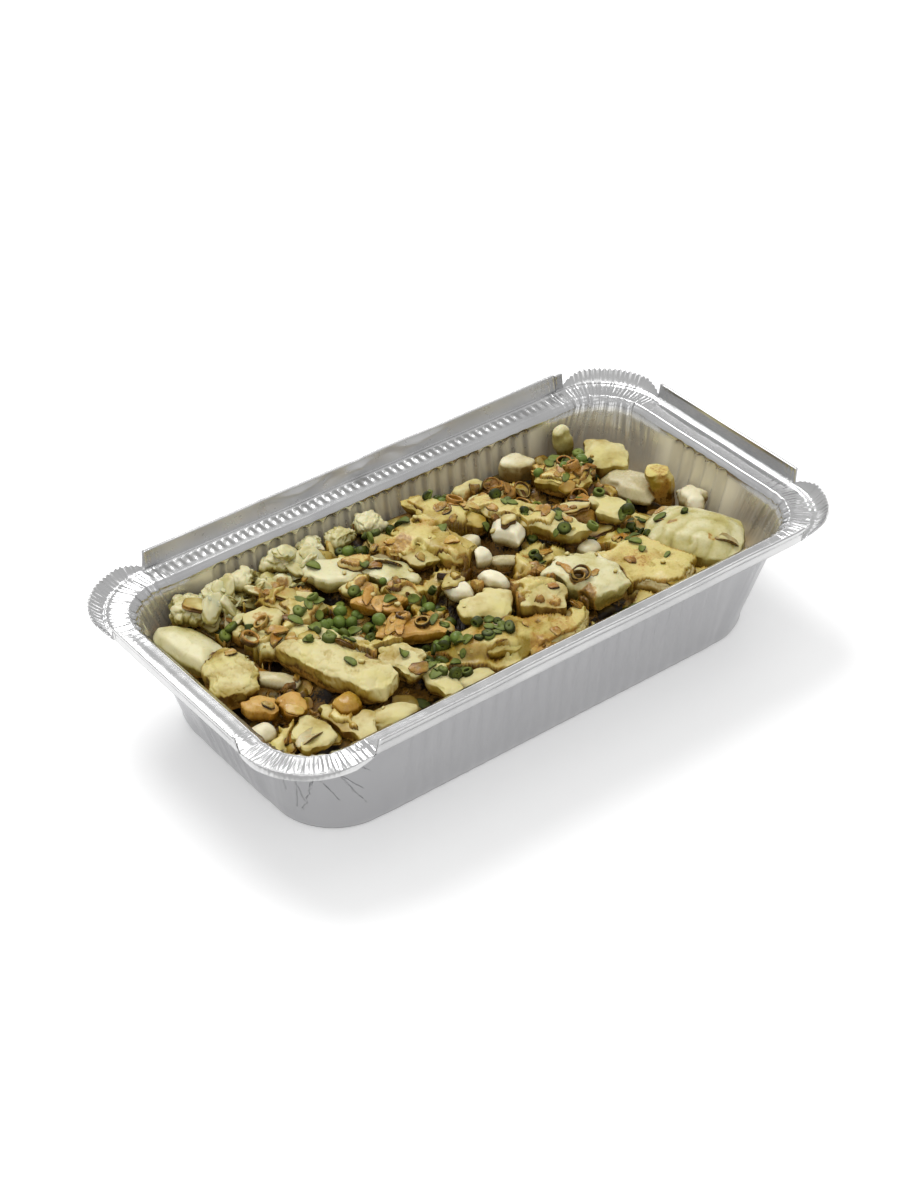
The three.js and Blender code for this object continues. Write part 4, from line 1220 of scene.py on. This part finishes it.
# ---------------------------------------------------------------- laying out the small things
# Small bites fused to the heap: kind, centre x and y, turn, length, width, height.
SET_BITES = (
    ("cream", -68.5, 22, 10, 6.5, 6, 6.5), ("petal", -70, 31.5, -45, 17, 3.6, 3.4),
    ("crust", -74.5, 8, -57, 12, 4, 4), ("white", -87, -16.5, 0, 8, 7.5, 7.5),
    ("cream", -20.5, 5.5, -43, 14, 8, 7), ("white", 12, 14.5, 20, 7, 6.5, 6.5),
    ("petal", 14.5, 0.5, -38, 11, 5, 5), ("white", 40.5, -9, 0, 7, 6.5, 6),
    ("crust", 19.5, -10, -50, 10, 6, 6), ("crust", -4, -37, 0, 10, 5.5, 6),
    ("crust", 38, 30, 10, 12, 6.5, 6), ("crust", 48, 6.5, -30, 12, 7, 6),
    ("crust", 55, 10, 20, 9, 6, 6.5), ("crust", 66.5, 15, -50, 14, 8, 6), ("crust", 80, -11, -20, 14, 6, 5),
    ("cream", 30, 37.5, 0, 12, 7, 8), ("cream", -26, -37, 0, 13, 7, 6), ("cream", -55, -36, -20, 15, 8, 5),
)
DARK_GAP = (9, 1, 9)  # the deep gap round the white beans, kept clear: x, y, radius
FILLER_PITCH = 5.2
# Patches of small things: x, y, half width, how many.
EVERYWHERE = ((0, 0, 44, 14), (-50, 0, 40, 14), (50, 0, 40, 14))
HERB_PATCHES = (
    (-41, 8, 12, 8), (-41, -3, 8, 6), (-22, -4, 11, 11), (-24, -19, 10, 10), (-17, 33, 8, 7), (-2, 33, 5, 5),
    (18, 34, 7, 4), (18, -2, 8, 3), (-29, -31, 8, 7), (-12, -26, 7, 6), (40, -3, 8, 4), (60, -9, 9, 9),
    (67, -16, 6, 4), (64, 27, 8, 6), (35, 20, 10, 3), (-66, 24, 8, 4), (-52, 1, 7, 4), (-35, -20, 7, 6),
    (28, 3, 12, 3), (-66, 36, 6, 2), (18, -40, 4, 2), (33, -36, 5, 3), (50, 12, 12, 4), (-55, 15, 6, 3),
)
PEA_PATCHES = (
    (-42, 6, 7, 13), (-36, -2, 6, 4), (-24, -20, 5, 4), (-22, -5, 6, 3), (62, 26, 5, 2), (-18, 33, 5, 2),
)
SHRED_PATCHES = ((-30, 4, 6, 4), (-30, -10, 7, 5), (20, 30, 5, 3))
RING_PATCHES = (
    (10, -11, 1, 1), (22, -25, 2, 2), (38, 29, 8, 4), (-8, 4, 2, 1), (52, 13, 7, 4), (-68, 16, 4, 2),
    (-28, -8, 6, 2), (60, 22, 6, 2), (16, 26, 6, 2), (-60, 30, 4, 2), (-74, -8, 6, 2), (44, -12, 4, 1),
)
AMBER_PATCHES = (
    (-61, 19, 1.5, 1), (-46, 24, 2, 1), (-10, 22, 3, 1), (4, 12, 3, 1), (16, -11, 2, 1), (30, -24, 2, 1),
    (46, 26, 8, 3), (58, 18, 5, 2), (-72, -16, 6, 4), (-30, 6, 6, 3), (-31, -10, 7, 3), (22, 32, 6, 2),
    (-58, -14, 3, 1),
)
CURD_PATCHES = ((-72, 34, 5, 5), (-61, 35, 6, 6), (-49, 36, 6, 7), (-37, 36, 6, 6), (-64, 29, 5, 3))
CRISP_PATCHES = (
    (-80, -18, 8, 10), (-72, -10, 6, 8), (-58, 30, 6, 3), (-30, 9, 7, 4), (-28, -8, 8, 5), (14, 26, 8, 8),
    (38, 28, 12, 16), (56, 15, 10, 16), (66, 20, 6, 8), (40, 6, 8, 7), (20, -12, 6, 8), (26, -30, 6, 8),
    (0, -38, 10, 7), (80, -11, 7, 7), (50, -14, 6, 5), (-78, 16, 5, 3), (-15, 8, 6, 4), (-62, 12, 6, 2),
    (28, 36, 12, 8), (-40, -28, 6, 5), (-66, 4, 6, 5),
)
# Peas seen one by one: x, y, size.
PEAS = (
    (-42.4, 15.9, 3.2), (-45.7, 3, 3), (-22.9, 11.9, 2.6), (-47.4, -15.8, 4.6), (-38, 1, 2.6), (16, 37, 3),
    (14.6, 31.8, 3), (51, 27.8, 3.2), (-33, 12, 2.8), (-36, 7, 2.6),
)


def set_bites(rng):
    """The larger things that are part of the heap, at the places of their CAD forms."""
    groups = {"cream": [], "white": [], "petal": [], "crust": []}
    for kind, x, y, turn, length, width, height in SET_BITES:
        skin = lump((length, width, height), rng, 4, 0.05 if kind in ("white", "petal") else 0.18)
        high = float(heap_height(x, y)) + 0.35 * height - 1.2
        skin.moved(Matrix.Rotation(math.radians(turn), 3, "Z"), (x, y, high))
        groups[kind].append(skin)
    return groups


# Flat things of the heap's mixture: width for their length, thickness, curl, and how lobed they are.
FLAT_FILLERS = {
    "cream": ((0.5, 0.9), (1.8, 3.2), (-0.1, 0.25), 0.13),
    "petal": ((0.35, 0.55), (0.8, 1.3), (0.4, 1.2), 0.08),
    "sheet": ((0.6, 0.8), (1.0, 1.8), (-0.3, 0.3), 0.14),
}


def filler(kind, rng):
    """One small thing of the heap's mixture."""
    size = rng.uniform(6, 12)
    if kind == "crust":
        return flake(0.7 * size, 0.45 * size, rng.uniform(0.8, 1.4), rng, rng.uniform(0.1, 0.8), 0.08)
    wide, thick, curl, lobes = FLAT_FILLERS[kind]
    return flake(size, size * rng.uniform(*wide), rng.uniform(*thick), rng, rng.uniform(*curl), lobes)


def mixture(x, y):
    """What the heap is made of at a place: kinds and their shares."""
    if x < -62 and y < -4:
        return (("petal", 0.3), ("crust", 0.3), ("cream", 0.25), ("sheet", 0.15))
    if x < -62:
        return (("petal", 0.35), ("crust", 0.15), ("cream", 0.35), ("sheet", 0.15))
    if y > 20 and x > 20:
        return (("crust", 0.42), ("cream", 0.22), ("sheet", 0.26), ("petal", 0.1))
    if y > 28:
        return (("cream", 0.55), ("sheet", 0.35), ("crust", 0.1))
    if x > 70:
        return (("cream", 0.35), ("crust", 0.35), ("petal", 0.3))
    return (("cream", 0.42), ("sheet", 0.32), ("crust", 0.16), ("petal", 0.1))


def scatter_fillers(ground, bites, rng):
    """Covers the core between the bites with small things, but for the dark hollows."""
    groups = {"cream": [], "white": [], "petal": [], "sheet": [], "crust": []}
    for gx in np.arange(-92, 92, FILLER_PITCH):
        for gy in np.arange(-43, 44, FILLER_PITCH):
            x, y = gx + rng.uniform(-1.9, 1.9), gy + rng.uniform(-1.9, 1.9)
            spot, over = ground.under(x, y), bites.under(x, y)
            if spot is None or (over is not None and over[0].z > spot[0].z - 0.2 and rng.random() < 0.93):
                continue
            if rng.random() < 0.85 * float(hollow_at(np.array(x), np.array(y))):
                continue
            kinds, shares = zip(*mixture(x, y))
            kind = rng.choice(kinds, p=shares)
            sink, roll = rng.uniform(0.8, 1.8), rng.uniform(-0.3, 0.3)
            thing = laid(filler(kind, rng), ground, x, y, rng, sink=sink, lie=0.6, roll=roll)
            if thing is not None:
                groups[kind].append(thing)
    return groups


def scatter_patches(patches, make, ground, rng, bare=None, **lay):
    """Things scattered in patches; few of them on the bare bites, none in the deep gap."""
    things = []
    for x, y, size, count in patches:
        for _ in range(count):
            angle, off = rng.uniform(0, 2 * math.pi), size * math.sqrt(rng.random())
            at = x + off * math.cos(angle), y + 0.85 * off * math.sin(angle)
            if bare is not None and bare.height(*at) > ground.height(*at) - 0.3 and rng.random() < 0.85:
                continue
            thing = laid(make(rng), ground, *at, rng, **lay)
            if thing is not None and math.hypot(at[0] - DARK_GAP[0], at[1] - DARK_GAP[1]) > DARK_GAP[2]:
                things.append(thing)
    return things


def herb_slice(rng):
    """A slice of stalk: mostly solid, some hollow, standing or lying."""
    outer = rng.uniform(1.2, 2.3)
    wall = outer * rng.choice([0.5, 0.97, 0.97])
    skin = ring_slice(outer, wall, rng.uniform(1.0, 2.6), rng)
    tilt = rng.choice([rng.uniform(0, 0.7), rng.uniform(0, 0.7), rng.uniform(1.2, 1.57)])
    return skin.moved(Matrix.Rotation(tilt, 3, "X"), (0, 0, 0))


def leaf_bit(rng):
    """A snipped bit of leaf, lying flat."""
    size = rng.uniform(2.8, 5.6)
    return flake(size, size * rng.uniform(0.4, 0.8), 0.8, rng, rng.uniform(0, 0.8), 0.06, 18)


def crisp_bit(rng):
    size = rng.uniform(2.4, 6.2)
    curl = rng.choice([rng.uniform(-0.1, 0.3), rng.uniform(0.3, 0.9)], p=[0.7, 0.3])
    return flake(size, size * rng.uniform(0.45, 0.9), rng.uniform(0.8, 1.5), rng, curl, 0.14, 16)


def amber_bit(rng):
    """A glassy disc of softened onion or yolk."""
    size = rng.uniform(4.0, 6.5)
    wide, thick, curl = size * rng.uniform(0.6, 0.9), rng.uniform(0.8, 1.3), rng.uniform(-0.2, 0.3)
    return flake(size, wide, thick, rng, curl, 0.1, 20)


def ring_bit(rng):
    """A ring of fried onion, half sunk."""
    skin = ring_slice(rng.uniform(2.0, 3.3), rng.uniform(0.6, 1.0), rng.uniform(1.6, 2.8), rng, 20)
    return skin.moved(Matrix.Rotation(rng.uniform(0, 0.7), 3, "X"), (0, 0, 0))


def pea(rng):
    size = rng.uniform(3.3, 4.3)
    return lump((size, 0.96 * size, 0.92 * size), rng, 3, 0.02, 1.0)


def crumb_bit(rng):
    size = rng.uniform(0.9, 2.0)
    return lump((size, size * rng.uniform(0.6, 1), size * rng.uniform(0.5, 0.9)), rng, 2, 0.2)


def curd_bit(rng):
    """A soft, low lump of the pale band along the back wall."""
    size = rng.uniform(6.0, 10.0)
    return lump((size, size * rng.uniform(0.6, 0.9), 0.34 * size), rng, 4, 0.2)


def shred_bit(rng):
    """A ribbon of cooked carrot."""
    length = rng.uniform(6, 13)
    return flake(length, rng.uniform(2.2, 3.6), rng.uniform(0.8, 1.3), rng, rng.uniform(-0.3, 0.5), 0.09, 20)


# What is scattered over the melted cream, in this order: kind, patches, what it is, whether it keeps
# off the bare bites, and how it lies.
SCATTERED = (
    ("crust", CRISP_PATCHES, crisp_bit, True, dict(sink=0.7, lie=0.8)),
    ("amber", AMBER_PATCHES, amber_bit, True, dict(sink=0.5, lie=0.9)),
    ("cream", EVERYWHERE, crumb_bit, False, dict(sink=0.3, lie=0.9)),
    ("crust", EVERYWHERE, crisp_bit, True, dict(sink=0.7, lie=1.0)),
    ("crust", RING_PATCHES, ring_bit, False, dict(sink=1.0, lie=0.8)),
    ("orange", SHRED_PATCHES, shred_bit, False, dict(sink=0.5)),
    ("herb", HERB_PATCHES, herb_slice, True, dict(sink=0.6, lie=0.8)),
    ("herb", HERB_PATCHES, leaf_bit, True, dict(sink=0.15, lie=1.0)),
    ("herb", EVERYWHERE, leaf_bit, True, dict(sink=0.15, lie=1.0)),
    ("pea", PEA_PATCHES, pea, False, dict(sink=0.9)),
)


def laid_out(core, bites, rng):
    """All small things by kind, the melted cream, and the ground with both of them on it."""
    fixed = set_bites(rng)
    standing = list(bites.values()) + [s for group in fixed.values() for s in group]
    ground = Ground([core] + standing)
    small = scatter_fillers(ground, Ground(standing), rng)
    for kind, skins in fixed.items():
        small[kind] += skins
    ground.add([s for group in small.values() for s in group])
    bare = Ground([s for name, s in bites.items() if stays_bare(name)] + fixed["white"])
    small["curd"] = scatter_patches(CURD_PATCHES, curd_bit, ground, rng, sink=1.2, lie=1.0)
    ground.add(small["curd"])
    bare.add(small["curd"])
    melt = melt_skin(ground, bare)
    ground.add([melt])
    for kind, patches, make, keeps_off, lay in SCATTERED:
        things = scatter_patches(patches, make, ground, rng, bare if keeps_off else None, **lay)
        small[kind] = small.get(kind, []) + things
    for x, y, size in PEAS:
        one = lump((size, size * 0.95, size * 0.9), rng, 3, 0.03, 1.0)
        small["pea"].append(laid(one, ground, x, y, rng, sink=0.8))
    small["pea"] = [one for one in small["pea"] if one is not None]
    return small, melt, ground


# ---------------------------------------------------------------- the meal
def tinted(skins, toast):
    """Small things as one skin, with shader values."""
    whole = joined(skins)
    tone = whole.values["tone"] + 0.12 * fractal(whole.points, 3, 2, 82)
    return shaded(whole, tone, toast + 0.3 * fractal(whole.points, 4, 2, 81))


class Relief:
    """The heap's upper surface on a grid, to tell what stands out and what lies in a hollow."""

    CELL, HALF_X, HALF_Y = 0.5, 98, 49

    def __init__(self, skins):
        self.last = np.array((2 * self.HALF_X, 2 * self.HALF_Y)) / self.CELL - 1
        top = np.full((self.last + 1).astype(int), -1.0)
        for skin in skins:
            np.maximum.at(top, self.cell(skin.points), skin.points[:, 2])
        known = (top > 0).astype(float)
        self.around = self.blurred(np.maximum(top, 0)) / np.maximum(self.blurred(known), 1e-3)

    def cell(self, points):
        where = (points[:, :2] + (self.HALF_X, self.HALF_Y)) / self.CELL
        return tuple(np.clip(where, 0, self.last).astype(int).T)

    @staticmethod
    def blurred(grid, reach=7, times=2):
        for _ in range(times):
            for axis in (0, 1):
                grid = sum(np.roll(grid, k, axis) for k in range(-reach, reach + 1)) / (2 * reach + 1)
        return grid

    def above(self, points):
        """How far points stand above what is round them, mm."""
        return points[:, 2] - self.around[self.cell(points)]


def within_walls(points):
    """Presses back what would come through the tray's walls."""
    share = np.clip((points[:, 2] - FOOT[3]) / (LIP[3] - FOOT[3]), 0, 1)
    half_x, half_y, r = (FOOT[k] + (LIP[k] - FOOT[k]) * share for k in range(3))
    flat = np.abs(points[:, :2])
    straight = np.minimum(flat, np.stack([half_x - r, half_y - r], 1) - WALL_CLEAR)
    off = flat - straight
    off = off * np.minimum(1, r / np.maximum(np.linalg.norm(off, axis=1), 1e-6))[:, None]
    return np.column_stack([np.sign(points[:, :2]) * (straight + off), points[:, 2]])


def sauce_and_painted_shading(skin, relief, steep=0.42):
    """Darker and browner in low places and on steep sides, paler on the heights: partly sauce lying in the
    hollows, partly painted shade and painted light.
    """
    skin.points = within_walls(skin.points)
    above = relief.above(skin.points)
    side = smooth_step(0.62, 0.12, skin.normals()[:, 2])
    # Painted shade in the hollows and on steep sides, painted light on the heights.
    tone = skin.values["tone"] + 0.2 * np.clip(above / 2.5, -1.6, 0.5) - steep * side
    skin.values["tone"] = np.clip(tone, 0, 1)
    if "toast" in skin.values:
        # Browner in the hollows and on the sides: partly sauce, partly painted shade.
        browner = 0.14 * np.clip(-above / 2.5 - 0.2, 0, 1.5) + 0.3 * steep * side
        skin.values["toast"] = np.clip(skin.values["toast"] + browner, 0, 1)
    return skin


# Look, material slot and browning of each kind of small thing.
SMALL_THINGS = {
    "cream": ("cream", "cream", 0.36), "white": ("white_bite", "white_bite", 0.12),
    "petal": ("grey_petal", "grey_petal", 0.36), "sheet": ("pale_melt", "pale_melt", 0.38),
    "curd": ("pale", "cream", 0.1), "crust": ("crust", "baked_gold", 0.45),
    "amber": ("amber", "baked_gold", 0.1), "orange": ("orange_strip", "orange_strip", 0.3),
}


def make_meal():
    looks, foil = food_looks(), foil_material()
    add_piece("foil_tray_pressed", tray_skin(), foil, ("foil_tray",))
    core, bites = core_skin(), make_bites()
    small, melt, ground = laid_out(core, bites, np.random.default_rng(11))
    relief = Relief(ground.skins)
    add_piece("heap_core", sauce_and_painted_shading(core, relief), looks["sauce"], ("food_heap",))
    add_piece("melted_cream", sauce_and_painted_shading(melt, relief), looks["melt"])
    for name, skin in bites.items():
        add_piece(name + "_food", sauce_and_painted_shading(skin, relief), looks[look_of(name)], (name,))
    for kind, (look, slot, toast) in SMALL_THINGS.items():
        add_piece("small_" + kind, sauce_and_painted_shading(tinted(small[kind], toast), relief), looks[look])
    add_piece("herb_slices", sauce_and_painted_shading(joined(small["herb"]), relief, 0.1), looks["herb"])
    add_piece("peas", sauce_and_painted_shading(joined(small["pea"]), relief, 0.2), looks["pea"])


# ---------------------------------------------------------------- the room
# Soft lights: where they are, where they aim, width and height in metres, power in watts.
LIGHTS = {
    "key": ((0.08, 0.72, 1.2), (0, 0, 0.02), 0.8, 0.8, 10.5),
    "fill": ((-0.6, -0.9, 0.9), (0, 0, 0.02), 1.2, 1.2, 2.6),
    "top": ((0.3, -0.1, 1.4), (0, 0, 0), 0.7, 0.7, 1.0),
    "back": ((0.75, 0.95, 0.24), (0, 0, 0.03), 1.2, 0.3, 1.8),
}
WORLD_STRENGTH = 0.66
WORLD_GREYS = (0.84, 1.0)  # from the horizon up to straight above
FLOOR_HALF = 3.0  # metres
FLOOR_GLOW = 0.22  # the table is lit from below, which softens the shadows on it


def floor_material():
    m = Nodes("pale_floor")
    m.feed("Base Color", m.ramp(m.noise(300, 2), ((0.3, srgb(246, 246, 246)), (0.7, srgb(250, 250, 250)))))
    m.set(Roughness=0.9, Emission_Color=(1, 1, 1, 1), Emission_Strength=FLOOR_GLOW)
    return m.material


def add_light(name, at, aim, wide, tall, power):
    light = bpy.data.lights.new(name, "AREA")
    light.shape, light.size, light.size_y, light.energy = "ELLIPSE", wide, tall, power
    obj = bpy.data.objects.new(name, light)
    obj.location = at
    obj.rotation_euler = (Vector(aim) - Vector(at)).to_track_quat("-Z", "Y").to_euler()
    bpy.context.scene.collection.objects.link(obj)


def make_floor():
    mesh = bpy.data.meshes.new("floor")
    corners = [(FLOOR_HALF * x, FLOOR_HALF * y, 0) for x, y in ((-1, -1), (1, -1), (1, 1), (-1, 1))]
    mesh.from_pydata(corners, [], [(0, 1, 2, 3)])
    mesh.materials.append(floor_material())
    floor = bpy.data.objects.new("floor", mesh)
    bpy.context.scene.collection.objects.link(floor)


def make_world():
    """A bright studio all round, a little greyer towards the horizon."""
    world = bpy.data.worlds.new("studio")
    bpy.context.scene.world = world
    world.use_nodes = True
    tree = world.node_tree
    where = tree.nodes.new("ShaderNodeTexCoord")
    split = tree.nodes.new("ShaderNodeSeparateXYZ")
    ramp = tree.nodes.new("ShaderNodeValToRGB")
    for element, place, grey in zip(ramp.color_ramp.elements, (0.0, 1.0), WORLD_GREYS):
        element.position, element.color = place, (grey, grey, grey, 1)
    tree.links.new(where.outputs["Generated"], split.inputs["Vector"])
    tree.links.new(split.outputs["Z"], ramp.inputs["Fac"])
    tree.links.new(ramp.outputs["Color"], tree.nodes["Background"].inputs["Color"])
    tree.nodes["Background"].inputs["Strength"].default_value = WORLD_STRENGTH


def make_room():
    make_floor()
    make_world()
    for name, light in LIGHTS.items():
        add_light(name, *light)


def make_camera():
    camera = bpy.data.cameras.new("camera")
    camera.lens, camera.sensor_width = LENS, 36
    obj = bpy.data.objects.new("camera", camera)
    right, up = Vector(CAMERA_RIGHT), Vector(CAMERA_UP)
    back = right.cross(up)
    at = Vector(CAMERA_AT) * MM
    turn = Matrix((right, up, back)).transposed()
    obj.matrix_world = Matrix.Translation(at) @ turn.to_4x4()
    bpy.context.scene.collection.objects.link(obj)
    bpy.context.scene.camera = obj
    bpy.context.scene.view_settings.view_transform = "Standard"


make_camera()
make_room()
make_meal()
